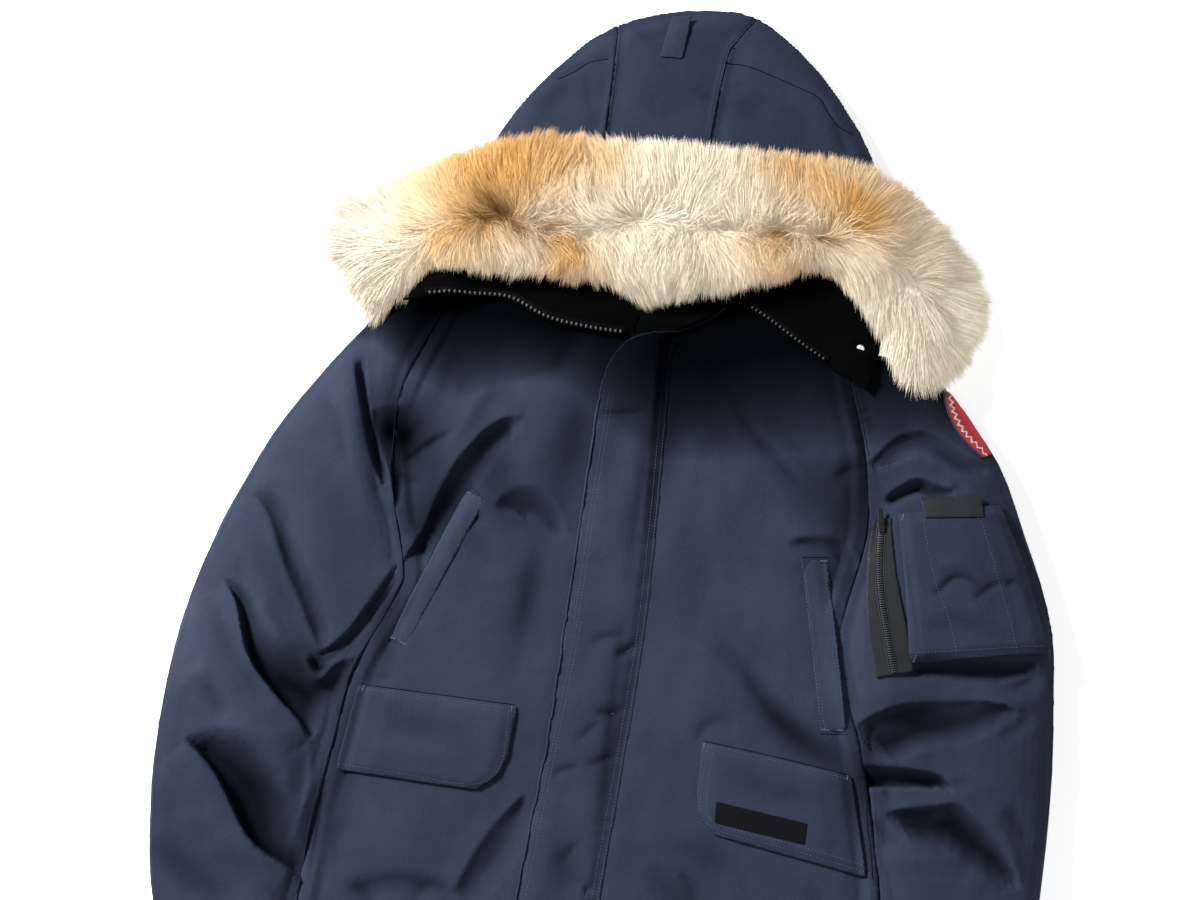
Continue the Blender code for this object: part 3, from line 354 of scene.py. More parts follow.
# stitching: curve, distances of its rows to the left, piece it is sewn on
STITCHES = [
    (STORM_FREE[2:5], (2.5, 7), "storm_flap"),
    (STORM_FREE[4:], (6, 10.5), "storm_flap"),
    (STORM_SEWN, (-3, -9), "storm_flap"),
    (HOOD_SEAM_R, (-4,), "hood_centre"),
    (HOOD_SEAM_L, (4,), "hood_centre"),
    (HEM_R, (0, 4), "front_right"),
    (HEM_L, (0, 4), "front_left"),
    (CUFF_R, (0, 4), "sleeve_right"),
    (CUFF_L, (0, 4), "sleeve_left"),
    ([(-243, -135), (-160, -134), (-77, -132)], (0,), "flap_right"),
    ([(-80, -136), (-80, -193), (-105, -217), (-180, -218), (-250, -218)], (0, 6), "flap_right"),
    ([(288, -151), (210, -144), (133, -139)], (0,), "flap_left"),
    ([(136, -142), (137, -203), (158, -225), (240, -234), (316, -244)], (0, 6), "flap_left"),
    ([(-165, 93), (-195, 6), (-220, -74)], (0,), "welt_right"),
    ([(-149, 88), (-177, 4), (-204, -78)], (-5,), "front_right"),
    ([(212, 74), (236, -16), (257, -101)], (0,), "welt_left"),
    ([(234, 78), (258, -14), (277, -98)], (0,), "welt_left"),
    ([(205, 78), (228, -14), (250, -106)], (4,), "front_left"),
    ([(334, 137), (352, 78), (374, 32), (385, 1)], (0,), "sleeve_pocket"),
    ([(397, 146), (427, 73), (451, 11)], (0,), "sleeve_pocket"),
    ([(310, 138), (324, 80), (341, -12)], (-4,), "sleeve_pocket"),
    ([(343, -12), (410, 2), (480, 18)], (4,), "sleeve_pocket"),
    ([(285, 130), (287, 84), (294, 38), (314, -34)], (0,), "pocket_zip"),
    ([(296, 133), (300, 84), (311, 37), (331, -30)], (0,), "pocket_zip"),
    ([(280, 191), (300, 200), (320, 209)], (0,), "sleeve_left"),
    ([(330, 161), (360, 167), (391, 173)], (0,), "pen_strip"),
    ([(337, 143), (366, 149), (396, 154)], (0,), "pen_strip"),
    ([(362, 169), (366, 148)], (0,), "pen_strip")]
BARTACKS = [  # middle, direction in degrees, piece
    ((-165, 96), -18, "welt_right"),
    ((-149, 91), -18, "welt_right"),
    ((-220, -76), -12, "welt_right"),
    ((-206, -80), -12, "welt_right"),
    ((212, 76), 8, "welt_left"),
    ((234, 79), 8, "welt_left"),
    ((258, -103), 4, "welt_left"),
    ((276, -101), 4, "welt_left"),
    ((-240, -134), 80, "flap_right"),
    ((-78, -131), 90, "flap_right"),
    ((132, -138), 92, "flap_left"),
    ((288, -148), 80, "flap_left"),
    ((312, 138), 75, "sleeve_pocket"),
    ((343, -14), 75, "sleeve_pocket")]

# fur: the ruff's edges from the wearer's right, and the parting from which the hairs run
RUFF = [  # x and y on the lower edge, x and y on the upper edge
    (-306, 264, -403, 390), (-276, 302, -384, 430), (-250, 340, -316, 466), (-190, 344, -220, 506),
    (-102, 351, -131, 533), (-40, 350, -37, 537), (8, 336, 31, 544), (90, 362, 126, 547),
    (150, 390, 219, 547), (200, 403, 276, 531), (238, 372, 334, 489), (262, 330, 374, 440),
    (288, 289, 389, 394), (316, 268, 364, 322)]
PARTING = [(-300, 352), (-274, 369), (-233, 393), (-192, 416), (-162, 409), (-124, 390), (-95, 386),
           (-54, 410), (-12, 432), (45, 432), (97, 428), (141, 438), (209, 446), (256, 438), (296, 412),
           (324, 384)]
PARTING_MIDDLE = PARTING[2:13]
FUR_TINTS = [  # x, y, half widths across and along, turn in degrees, tint, strength
    (-192, 450, 104, 58, 18, "tan", 1.15),
    (-132, 490, 70, 34, 0, "tan", 0.8),
    (-214, 390, 66, 28, 24, "tan", 0.85),
    (-182, 414, 20, 13, -40, "brown", 1.4),
    (-202, 400, 26, 9, 10, "brown", 0.7),
    (-139, 406, 12, 9, 0, "grey", 1.2),
    (-158, 396, 14, 9, -30, "brown", 1.0),
    (-112, 392, 26, 16, -20, "brown", 1.1),
    (-92, 376, 40, 22, 0, "tan", 0.85),
    (186, 490, 92, 46, -15, "tan", 0.8),
    (219, 466, 26, 17, -20, "tan", 1.3),
    (140, 498, 46, 34, 0, "tan", 0.45),
    (132, 430, 18, 8, 10, "brown", 1.1),
    (186, 434, 26, 8, 0, "brown", 0.9),
    (130, 412, 70, 26, 0, "tan", 0.6),
    (-64, 476, 26, 30, 0, "tan", 0.4),
    (-268, 366, 9, 12, 40, "grey", 0.9),
    (182, 412, 10, 14, 0, "grey", 1.0),
    (-20, 352, 60, 20, 10, "grey", 0.5),
    (300, 300, 40, 50, 30, "grey", 0.04),
    (60, 380, 70, 20, 0, "grey", 0.3),
    # painted shade: these grey rows darken the wearer's right end of the ruff, which would wash out in the
    # light
    (-318, 300, 44, 36, 0, "grey", 0.5),
    (-388, 382, 80, 130, 20, "grey", 1.2),
    (-345, 452, 70, 40, 25, "grey", 0.7)]


class JacketCloth(bpy.types.PropertyGroup):
    panel_grid: FloatProperty(name="Panel grid", description="Mesh spacing on the down-filled panels",
                              default=0.0029, unit="LENGTH")
    back_grid: FloatProperty(name="Back grid",
                             description="Mesh spacing on the back, which lies on the floor", default=0.007,
                             unit="LENGTH")
    small_grid: FloatProperty(name="Small piece grid", description="Mesh spacing on flaps, welts and pockets",
                              default=0.0018, unit="LENGTH")
    trim_grid: FloatProperty(name="Trim grid", description="Mesh spacing on tapes, label and patch",
                             default=0.0009, unit="LENGTH")
    swell: FloatProperty(name="Swell", description="How far the down pushes the shell out to its seams",
                         default=0.0007, unit="LENGTH")
    crease: FloatProperty(name="Crease depth", description="Share of the creases' table heights", default=1.0,
                          subtype="FACTOR")
    loft: FloatProperty(name="Uneven down", description="Height of the soft unevenness of the filling",
                        default=0.0017, unit="LENGTH")
    weave: FloatProperty(name="Weave pitch", description="Distance between threads of the shell",
                         default=0.0010, unit="LENGTH")
    stitch: FloatProperty(name="Stitch", description="Distance from one stitch to the next", default=0.0036,
                          unit="LENGTH")


class JacketColours(bpy.types.PropertyGroup):
    shell: FloatVectorProperty(name="Shell", description="Navy shell", default=(0.0322, 0.0415, 0.0697),
                               subtype="COLOR")
    fleece: FloatVectorProperty(name="Fleece", description="Collar lining", default=(0.0009, 0.0010, 0.0011),
                                subtype="COLOR")
    tape: FloatVectorProperty(name="Tape", description="Zip tape and pen strip",
                              default=(0.022, 0.0235, 0.027), subtype="COLOR")
    thread: FloatVectorProperty(name="Thread", description="Sewing thread", default=(0.100, 0.115, 0.160),
                                subtype="COLOR")
    teeth: FloatVectorProperty(name="Teeth", description="Moulded zip teeth", default=(0.030, 0.031, 0.034),
                               subtype="COLOR")
    metal: FloatVectorProperty(name="Metal", description="Slider and pull", default=(0.34, 0.34, 0.36),
                               subtype="COLOR")
    cream: FloatVectorProperty(name="Cream fur", description="Most of the ruff", default=(0.97, 0.85, 0.665),
                               subtype="COLOR")
    tan: FloatVectorProperty(name="Tan fur", description="Tan patches of the ruff",
                             default=(0.70, 0.38, 0.115), subtype="COLOR")
    brown: FloatVectorProperty(name="Brown fur", description="Dark hairs at the parting",
                               default=(0.20, 0.085, 0.022), subtype="COLOR")
    # grey: partly the real grey of the lower hairs, partly painted shade at the lower edge and at the wearer's
    # right end
    grey: FloatVectorProperty(name="Grey fur", description="Cool hairs at the lower edge and ends",
                              default=(0.62, 0.53, 0.40), subtype="COLOR")
    red: FloatVectorProperty(name="Patch field", description="Field of the arm patch",
                             default=(0.50, 0.022, 0.028), subtype="COLOR")
    white: FloatVectorProperty(name="Patch chevrons", description="Chevrons of the arm patch",
                               default=(0.75, 0.74, 0.71), subtype="COLOR")
    edge: FloatVectorProperty(name="Patch edge", description="Whipped edge of the arm patch",
                              default=(0.020, 0.024, 0.060), subtype="COLOR")


class JacketFur(bpy.types.PropertyGroup):
    hairs: IntProperty(name="Hairs", description="Number of hairs in the whole ruff", default=75000)
    length: FloatProperty(name="Hair length", description="Mean length of a hair", default=0.047,
                          unit="LENGTH")
    width: FloatProperty(name="Hair width", description="Width of a hair near its root", default=0.00054,
                         unit="LENGTH")
    clump: FloatProperty(name="Clumping", description="How far tips draw together", default=0.45,
                         subtype="FACTOR")


class JacketStage(bpy.types.PropertyGroup):
    azimuth: FloatProperty(name="Azimuth", description="Turn of the camera", default=math.radians(8.75),
                           subtype="ANGLE")
    elevation: FloatProperty(name="Elevation", description="Tilt of the camera", default=math.radians(77),
                             subtype="ANGLE")
    distance: FloatProperty(name="Distance", description="Camera to the jacket", default=2.05, unit="LENGTH")
    target: FloatVectorProperty(name="Target", description="Point the camera looks at",
                                default=(-0.028, 0.165, 0.045), subtype="XYZ")
    lens: FloatProperty(name="Lens", description="Focal length in mm", default=55.35)
    key: FloatProperty(name="Key light", description="Power of the large soft light", default=262.0,
                       unit="POWER")
    sky: FloatProperty(name="Room light", description="Strength of the even light", default=0.17)


# ---- curves ----
def along(points, n):
    """n + 1 even points on a smooth curve through the given ones."""
    p = np.array(points, float)
    if len(p) > 2:
        q = np.vstack([2 * p[0] - p[1], p, 2 * p[-1] - p[-2]])
        fine = [0.5 * (2 * b + (c - a) * t + (2 * a - 5 * b + 4 * c - d) * t**2
                       + (3 * b - a - 3 * c + d) * t**3)
                for a, b, c, d in zip(q, q[1:], q[2:], q[3:]) for t in np.linspace(0, 1, 12, endpoint=False)]
        p = np.array(fine + [p[-1]])
    s = way_marks(p)
    at = np.linspace(0, s[-1], n + 1)
    return np.column_stack([np.interp(at, s, p[:, k]) for k in range(p.shape[1])])


def way_marks(line):
    """Distance of each point of a line from its start, along the line."""
    return np.r_[0, np.cumsum(np.linalg.norm(np.diff(line, axis=0), axis=1))]


def length_of(line):
    return float(np.linalg.norm(np.diff(line, axis=0), axis=1).sum())


def stepped(curve, pitch):
    """Points on a smooth curve, about one pitch apart."""
    return along(curve, max(2, round(length_of(along(curve, 80)) / pitch)))


def unit(vectors, least=0.0):
    """Each vector at length 1. One that is shorter than least is only divided by least."""
    return vectors / np.maximum(np.linalg.norm(vectors, axis=1), least)[:, None]


def directions(line):
    return unit(np.gradient(line, axis=0))


def to_left(ways):
    """Each plan direction turned a quarter to its left."""
    return np.column_stack([-ways[:, 1], ways[:, 0]])


def moved(line, by):
    """The line moved sideways, to its left as it runs."""
    return line + by * to_left(directions(line))


def reach(points, line):
    """Each plan point's distance to the left of a line, its share of the way along, and its nearest place."""
    d = points[:, None] - line[None]
    k = np.argmin((d**2).sum(2), axis=1)
    near, way = d[np.arange(len(points)), k], directions(line)[k]
    side = way[:, 0] * near[:, 1] - way[:, 1] * near[:, 0]
    past = (k == 0) | (k == len(line) - 1)
    side = np.where(past, np.copysign(np.linalg.norm(near, axis=1), side), side)
    return side, k / (len(line) - 1), k


def beside(points, line, far):
    """Which plan points lie in the box round a line, widened by far."""
    return np.all((points > line.min(0) - far) & (points < line.max(0) + far), axis=1)


def ramp(value, start, full):
    """0 up to start, 1 from full on, and even in between. full may be the lower of the two."""
    return np.clip((value - start) / (full - start), 0, 1)


def evened(values, times):
    """Values along a line, each evened out with its two neighbours."""
    for _ in range(times):
        values[1:-1] = (values[:-2] + values[1:-1] + values[2:]) / 3
    return values


# ---- points of a mesh, and heights ----
def places(mesh):
    co = np.empty(len(mesh.vertices) * 3)
    mesh.vertices.foreach_get("co", co)
    return co.reshape(-1, 3)


def put(mesh, co):
    mesh.vertices.foreach_set("co", np.ascontiguousarray(co, dtype=np.float32).ravel())
    mesh.update()


def plan_of(o):
    """Plan places of a piece's points, in mm."""
    return places(o.data)[:, :2] / MM


def normals(mesh):
    up = np.empty(len(mesh.vertices) * 3)
    mesh.vertices.foreach_get("normal", up)
    return up.reshape(-1, 3)


def edge_ends(mesh):
    ends = np.empty(len(mesh.edges) * 2, int)
    mesh.edges.foreach_get("vertices", ends)
    return ends.reshape(-1, 2).T


def keep_value(data, name, kind, value):
    """Keep a value for each point of a mesh or of guide curves, for nodes to read by its name."""
    slot = {"FLOAT": "value", "FLOAT_VECTOR": "vector", "FLOAT_COLOR": "color"}[kind]
    data.attributes.new(name, kind, "POINT").data.foreach_set(slot, np.asarray(value, np.float32).ravel())


def keep_shade(o, shade):
    """Keep a painted shade for each point of a piece, which its cloth reads."""
    keep_value(o.data, "shade", "FLOAT", shade)


def cloths(nodes):
    """Names of the finished pieces of these nodes."""
    return [node + "_cloth" for node in nodes]


TREES = {}


def tree_of(name):
    """Search tree of a CAD node or finished piece, for rays from above."""
    if name not in TREES:
        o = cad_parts.get(name) or bpy.data.objects[name]
        bm = bmesh.new()
        bm.from_mesh(o.data)
        TREES[name] = BVHTree.FromBMesh(bm)
        bm.free()
    return TREES[name]


def drop(x, y, names):
    """Highest point and its normal where a ray from above meets the named pieces, or None."""
    best = None
    for name in names:
        at, normal, _, _ = tree_of(name).ray_cast(Vector((x, y, ABOVE_ALL)), Vector((0, 0, -1)))
        if at is not None and (best is None or at.z > best[0].z):
            best = (at, normal)
    return best


def heights(co, names, default=np.nan):
    hits = [drop(p[0], p[1], names) for p in co]
    return np.array([default if h is None else h[0].z for h in hits])


def spread(mesh, value, times):
    """A value at each vertex, evened out over its neighbours. Unknown ones take theirs from the known."""
    a, b = edge_ends(mesh)
    known = ~np.isnan(value)
    value = np.where(known, value, 0.0)
    weight = known.astype(float)
    n = len(value)
    for _ in range(times):
        own = value * weight
        total = own + np.bincount(a, own[b], n) + np.bincount(b, own[a], n)
        w = weight + np.bincount(a, weight[b], n) + np.bincount(b, weight[a], n)
        value, weight = total / np.maximum(w, 1e-9), np.minimum(w, 1.0)
    return value


def smooth_noise(co, size, seed):
    """Soft noise from -1 to 1 at each point, with features of the given size in metres."""
    return np.array([noise.noise(Vector(p) / size + Vector((seed, 2 * seed, 0))) for p in co])


def noise_along(spots, size, seed, wave):
    """Soft noise from -1 to 1 at each spot along a line."""
    return np.array([noise.noise(Vector((v / size, seed, wave))) for v in spots])


# ---- folds, puckers and tone, at plan points in mm ----
def width_at(t, widths, curve):
    """A fold's width at shares t of its way, from widths at the curve's points, or at even steps."""
    steps = way_marks(np.array(curve, float))
    at = steps / steps[-1] if np.size(widths) == len(steps) else np.linspace(0, 1, np.size(widths))
    return np.interp(t, at, widths)


def lap(curve, side, t, left, high, widths, deep, back):
    """Rise of points beside a lapped fold's crest, and how far they move to its right."""
    wide, back = width_at(t, widths, curve), width_at(t, np.atleast_1d(back), curve)
    fade = ramp(np.minimum(t, 1 - t), 0, LAP_ENDS) ** 0.7
    deep = deep * np.sqrt((wide + back) / (wide + back).max())
    u, v = np.clip(-side / wide, 0, 1), np.clip((-side - wide) / back, 0, 1)
    rise = high * np.clip(1 - side / left, 0, 1) ** 2
    fall = high - (high + deep) * (1 - (1 - u) ** 1.9)
    ease = -deep * (1 - v) ** 1.5 * (1 + 0.5 * v)
    over = LAP_LEAN * deep * fade * np.where(side > 0, np.exp(-((side / LAP_LEAN_REACH) ** 2)), (1 - u) ** 2)
    return fade * np.where(side > 0, rise, np.where(u < 1, fall, ease)), over


def ridge(side, t, left, right, high):
    """Rise of points beside the middle line of a ridge or, where high is below 0, a trough."""
    fade = np.sin(math.pi * (0.02 + 0.96 * t)) ** 0.6
    wide = np.where(side > 0, left, right)
    sharp = np.where(wide < NARROW, 1.3, 1.9)
    return high * (fade * np.exp(-((np.abs(side) / wide) ** sharp)))


def creased(points, rows):
    """Sideways and upward move of plan points by a table of creases."""
    move = np.zeros((len(points), 3))
    for curve, left, *rest in rows:
        line = along(curve, 64)
        lapped = len(rest) == 4
        far = max(left, max(rest[1]) + np.max(rest[3])) if lapped else 3.2 * max(left, rest[0])
        near = beside(points, line, far)
        if not near.any():
            continue
        side, t, k = reach(points[near], line)
        if lapped:
            rise, over = lap(curve, side, t, left, *rest)
            move[near, 2] += rise
            move[near, :2] -= over[:, None] * to_left(directions(line)[k])
        else:
            move[near, 2] += ridge(side, t, left, *rest)
    return move


def puckered(points, rows, seed):
    """Rise and fall of cloth beside its seams."""
    rise = np.zeros(len(points))
    for curve, deep, high, wave, *lift in rows:
        line = along(curve, 150)
        near = beside(points, line, PUCKER_REACH)
        if not near.any():
            continue
        side, t, _ = reach(points[near], line)
        s = t * length_of(line)
        spots = np.linspace(0, length_of(line), 120)
        drift = np.interp(s, spots, noise_along(spots, 45, seed, wave))
        strength = np.interp(s, spots, 0.55 + 0.9 * noise_along(spots, 30, 7 + seed, wave))
        ripple = high * strength * np.sin(2 * math.pi * s / wave + 5 * drift)
        rise[near] -= deep * np.exp(-((side / GROOVE) ** 2))
        rise[near] += ripple * np.exp(-((np.abs(side) / PUCKER_LENGTH) ** 1.5))
        if lift:
            ends = np.clip(np.minimum(t + 0.2, 1 - t) / 0.18, 0, 1)
            rise[near] += lift[0] * np.exp(-((np.abs(side) / 7) ** 1.4)) * ends
    return rise


def meeting(plan, z, node):
    """Height to add beside the line where a piece meets its neighbour, so that both stay full up to it."""
    if node not in JOINS:
        return np.zeros(len(plan))
    curve, inward, other, dip = JOINS[node]
    line = along(curve, 90)
    levels = [heights(moved(line, by) * MM, [on]) for by, on in ((inward, node), (-inward, other))]
    level = evened(np.nanmean(levels, axis=0) / MM, 12)
    side, t, _ = reach(plan, line)
    w = np.clip(1 - np.abs(side) / abs(inward), 0, 1)
    goal = np.interp(t, np.linspace(0, 1, len(level)), level) - dip * w**2
    return np.maximum(goal - z, 0) * np.minimum(1, 3 * w) * ramp(1 - t, 0, 0.05)


def spot(at, x, y, wide, tall, turn):
    """1 in the middle of a soft-edged round spot, falling to 0 outside it."""
    a, d = math.radians(turn), at - (x, y)
    u = d[:, 0] * math.cos(a) + d[:, 1] * math.sin(a)
    v = -d[:, 0] * math.sin(a) + d[:, 1] * math.cos(a)
    return np.exp(-((u / wide) ** 2 + (v / tall) ** 2))


def painted_shade(plan, node):
    """Painted shade on the cloth: darker in its hollows and in the ruff's shadow."""
    tone = np.ones(len(plan))
    for *place, share in SHADED_HOLLOWS.get(node, []):
        tone *= 1 - share * spot(plan, *place)
    if node.startswith(("front", "sleeve_left", "sleeve_right", "storm")):
        x, lit, fall = np.array(RUFF_SHADOW_TONE, float).T
        above = np.maximum(plan[:, 1] - np.interp(plan[:, 0], x, lit), 0)
        tone *= np.maximum(np.exp(-above / np.interp(plan[:, 0], x, fall)), DARKEST)
    return tone


# ---- making and declaring pieces ----
def link(name, data):
    o = bpy.data.objects.new(name, data)
    bpy.context.scene.collection.objects.link(o)
    return o


def mesh_from(bm, name):
    """A mesh of what a bmesh holds. The bmesh is freed."""
    mesh = bpy.data.meshes.new(name)
    bm.to_mesh(mesh)
    bm.free()
    return mesh


def applied(o):
    """The object with its modifiers made part of its mesh."""
    mesh = bpy.data.meshes.new_from_object(o.evaluated_get(bpy.context.evaluated_depsgraph_get()))
    o.modifiers.clear()
    old, o.data = o.data, mesh
    bpy.data.meshes.remove(old)
    mesh.name = o.name
    return o


def settle(mesh, times):
    """Even out the facets of a mesh's upper side, in height alone."""
    co, flat = places(mesh), normals(mesh)[:, 2] > 0.5
    a, b = edge_ends(mesh)
    inner = flat[a] & flat[b]
    a, b = a[inner], b[inner]
    n = len(co)
    count = np.bincount(a, minlength=n) + np.bincount(b, minlength=n)
    for _ in range(times):
        total = np.bincount(a, co[b, 2], n) + np.bincount(b, co[a, 2], n)
        co[:, 2] = np.where(count > 0, 0.5 * co[:, 2] + 0.5 * total / np.maximum(count, 1), co[:, 2])
    put(mesh, co)


def even_copy(node, grid, rounds, settles=0):
    """A closed, evenly meshed copy of a CAD solid, with its corners rounded and its facets evened out."""
    bm = bmesh.new()
    bm.from_mesh(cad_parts[node].data)
    bmesh.ops.remove_doubles(bm, verts=bm.verts, dist=1e-6)
    o = link(node + "_cloth", mesh_from(bm, node))
    m = o.modifiers.new("even", "REMESH")
    m.mode, m.voxel_size = "VOXEL", grid
    m = o.modifiers.new("round", "SMOOTH")
    m.iterations = rounds
    applied(o)
    if settles:
        settle(o.data, settles)
    return o


def dress(o, node, material, keep=None):
    """Finish a sewn piece: material, body, and the solid it stands for.
    keep is the share of faces left where its surface is flat."""
    # painted shade, for a piece that has none yet
    if "shade" not in o.data.attributes and node:
        keep_shade(o, painted_shade(plan_of(o), node))
    if keep:
        o.modifiers.new("thin", "DECIMATE").ratio = keep
        applied(o)
    o.data.materials.clear()
    o.data.materials.append(material)
    o.data.shade_smooth()
    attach(o, BODY)
    if node:
        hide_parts(node)
    return o


def panel(node, grid, floor, rounds=3, settles=24):
    """A down-filled panel with its swell, creases and puckers. Its upper side stays above floor, in mm."""
    cloth, seed = bpy.context.scene.jacket_cloth, float(len(node))
    o = even_copy(node, grid, rounds, settles)
    co, normal = places(o.data), normals(o.data)
    plan, z = co[:, :2] / MM, co[:, 2] / MM
    upper = ramp(z, floor, floor + 9) * (normal[:, 2] > -0.2)
    lower = ramp(z, 12, 4) * (normal[:, 2] < 0.3)
    move = creased(plan, CREASES.get(node, [])) * cloth.crease
    # painted shade: darker in the listed hollows, in crease valleys, in the ruff's shadow and over the whole
    # hood
    tone = painted_shade(plan, node) * (1 - 0.8 * ramp(-move[:, 2], 0, 13))
    tone *= HOOD_SHADE if node.startswith("hood") else 1.0
    move[:, 2] += puckered(plan, SEAMS.get(node, []), seed) + meeting(plan, z, node)
    move *= MM * upper[:, None]
    uneven = smooth_noise(co, 0.065, seed) + 0.6 * smooth_noise(co * (2.6, 1, 1), 0.085, seed + 8)
    move[:, 2] += cloth.loft * upper * (uneven + 0.35 * smooth_noise(co, 0.021, seed + 3))
    if node in UNDER:
        move[:, 2] += creased(plan, UNDER[node])[:, 2] * MM * lower
    seam = np.zeros(len(co))
    for curve, *_ in SEAMS.get(node, []):
        side, _, _ = reach(plan, along(curve, 80))
        seam = np.maximum(seam, np.exp(-((side / 8) ** 2)))
    if node.startswith("front") or node == "back":  # the body lies close against the sleeves
        low_side = (np.abs(plan[:, 0]) > 150) * ramp(plan[:, 1], 30, -20)
        co[:, 0] += BODY_TO_SLEEVE * MM * normal[:, 0] * low_side
    co += normal * cloth.swell + move
    closing = HOOD_SEAM_CLOSING if node.startswith("hood") else SEAM_CLOSING
    co[:, :2] += normal[:, :2] * (closing * MM * seam * (upper > 0))[:, None]
    top = upper > 0.5
    co[top, 2] = np.maximum(co[top, 2], (floor + 1.2) * MM)
    co[:, 2] = np.maximum(co[:, 2], 0.0)
    put(o.data, co)
    keep_shade(o, tone)
    return o


def laid(node, grid, on, rounds=4, settles=4, sink=0.0003):
    """A piece that lies on others: its copy is moved from their solids to their finished cloth."""
    o = even_copy(node, grid, rounds, settles)
    co = places(o.data)
    step = max(1, len(co) // SAMPLES)
    rise, above = np.full(len(co), np.nan), np.full(len(co), np.nan)
    rise[::step] = heights(co[::step], cloths(on)) - heights(co[::step], on)
    above[::step] = co[::step, 2] - heights(co[::step], on, 0.0)
    rise = spread(o.data, rise, 10 + 4 * step)
    upper = ramp(spread(o.data, above, 2 + step) / MM, 0, 3)
    plan = co[:, :2] / MM
    move = creased(plan, CREASES.get(node, [])) * MM * upper[:, None] * bpy.context.scene.jacket_cloth.crease
    co += move * (STORM_CREASE if node == "storm_flap" else 1)
    co[:, 2] += rise - sink
    put(o.data, co)
    # painted shade: darker in the listed hollows, in crease valleys and in the ruff's shadow
    keep_shade(o, painted_shade(plan, node) * (1 - 0.6 * ramp(-move[:, 2] / MM, 0, 4)))
    return o


def geometry_tree(name):
    tree = bpy.data.node_groups.new(name, "GeometryNodeTree")
    for way in ("INPUT", "OUTPUT"):
        tree.interface.new_socket(name="Geometry", in_out=way, socket_type="NodeSocketGeometry")
    tree.nodes.new("NodeGroupInput")
    tree.nodes.new("NodeGroupOutput")
    return tree, tree.nodes, tree.links.new


def kept_value(nodes, name, kind):
    """A geometry node that reads what is kept under a name."""
    node = nodes.new("GeometryNodeInputNamedAttribute")
    node.data_type = kind
    node.inputs["Name"].default_value = name
    return node


def shaped(o, tree):
    """The object with a geometry tree made part of its mesh."""
    o.modifiers.new("shape", "NODES").node_group = tree
    return applied(o)


def scatter(name, shape, spots, turns):
    """One mesh of copies of a small shape, by Geometry Nodes with the copies made real."""
    bm = bmesh.new()
    for p in spots:
        bm.verts.new(p)
    o = link(name, mesh_from(bm, name))
    keep_value(o.data, "turn", "FLOAT_VECTOR", turns)
    tree, n, wire = geometry_tree(name)
    source, turn = n.new("GeometryNodeObjectInfo"), kept_value(n, "turn", "FLOAT_VECTOR")
    spin = n.new("FunctionNodeEulerToRotation")
    copies, real = n.new("GeometryNodeInstanceOnPoints"), n.new("GeometryNodeRealizeInstances")
    source.inputs["Object"].default_value = shape
    wire(n["Group Input"].outputs[0], copies.inputs["Points"])
    wire(source.outputs["Geometry"], copies.inputs["Instance"])
    wire(turn.outputs["Attribute"], spin.inputs[0])
    wire(spin.outputs[0], copies.inputs["Rotation"])
    wire(copies.outputs[0], real.inputs[0])
    wire(real.outputs[0], n["Group Output"].inputs[0])
    shaped(o, tree)
    bpy.data.objects.remove(shape)
    return o


def block(name, size, corner):
    """A small block with bevelled edges."""
    bm = bmesh.new()
    bmesh.ops.create_cube(bm, size=1)
    bmesh.ops.scale(bm, vec=size, verts=bm.verts)
    bmesh.ops.bevel(bm, geom=bm.edges[:], offset=corner, segments=1, profile=0.5, affect="EDGES", material=-1)
    return link(name, mesh_from(bm, name))


def bead(name, size):
    """A small rounded shape."""
    bm = bmesh.new()
    bmesh.ops.create_icosphere(bm, subdivisions=1, radius=0.5)
    bmesh.ops.scale(bm, vec=size, verts=bm.verts)
    return link(name, mesh_from(bm, name))


def set_on(line, names, lift):
    """Spots and turns of things set along a plan line in mm, on the finished pieces, at the line's points."""
    spots, turns = [], []
    for p, d in zip(line, directions(line)):
        hit = drop(p[0] * MM, p[1] * MM, names)
        if hit is None or hit[1].z < STEEPEST:
            continue
        up = hit[1]
        run = Vector((d[0], d[1], 0))
        run = (run - up * run.dot(up)).normalized()
        spots.append(hit[0] + up * lift)
        turns.append(Matrix((run, up.cross(run), up)).transposed().to_euler())
    return spots, turns


def cords(name, lines, names, radius, lift, evens=0):
    """Round cords along plan lines in mm, on the finished pieces."""
    bm = bmesh.new()
    for curve, by in lines:
        spots, _ = set_on(moved(stepped(curve, CORD_STEP), by), names, lift)
        for p, z in zip(spots, evened(np.array([p.z for p in spots]), evens)):
            p.z = z
        verts = [bm.verts.new(p) for p in spots]
        for a, b in zip(verts, verts[1:]):
            if (a.co - b.co).length < CORD_BREAK:
                bm.edges.new((a, b))
    o = link(name, mesh_from(bm, name))
    tree, n, wire = geometry_tree(name)
    path, ring = n.new("GeometryNodeMeshToCurve"), n.new("GeometryNodeCurvePrimitiveCircle")
    tube = n.new("GeometryNodeCurveToMesh")
    ring.inputs["Resolution"].default_value, ring.inputs["Radius"].default_value = 6, radius
    tube.inputs["Fill Caps"].default_value = True
    wire(n["Group Input"].outputs[0], path.inputs["Mesh"])
    wire(path.outputs["Curve"], tube.inputs["Curve"])
    wire(ring.outputs["Curve"], tube.inputs["Profile Curve"])
    wire(tube.outputs["Mesh"], n["Group Output"].inputs[0])
    shaped(o, tree)
    # painted shadow of the ruff on the cords, softened and never below 0.09
    keep_shade(o, np.maximum(painted_shade(plan_of(o), "front"), 0.09) ** 0.55)
    return o


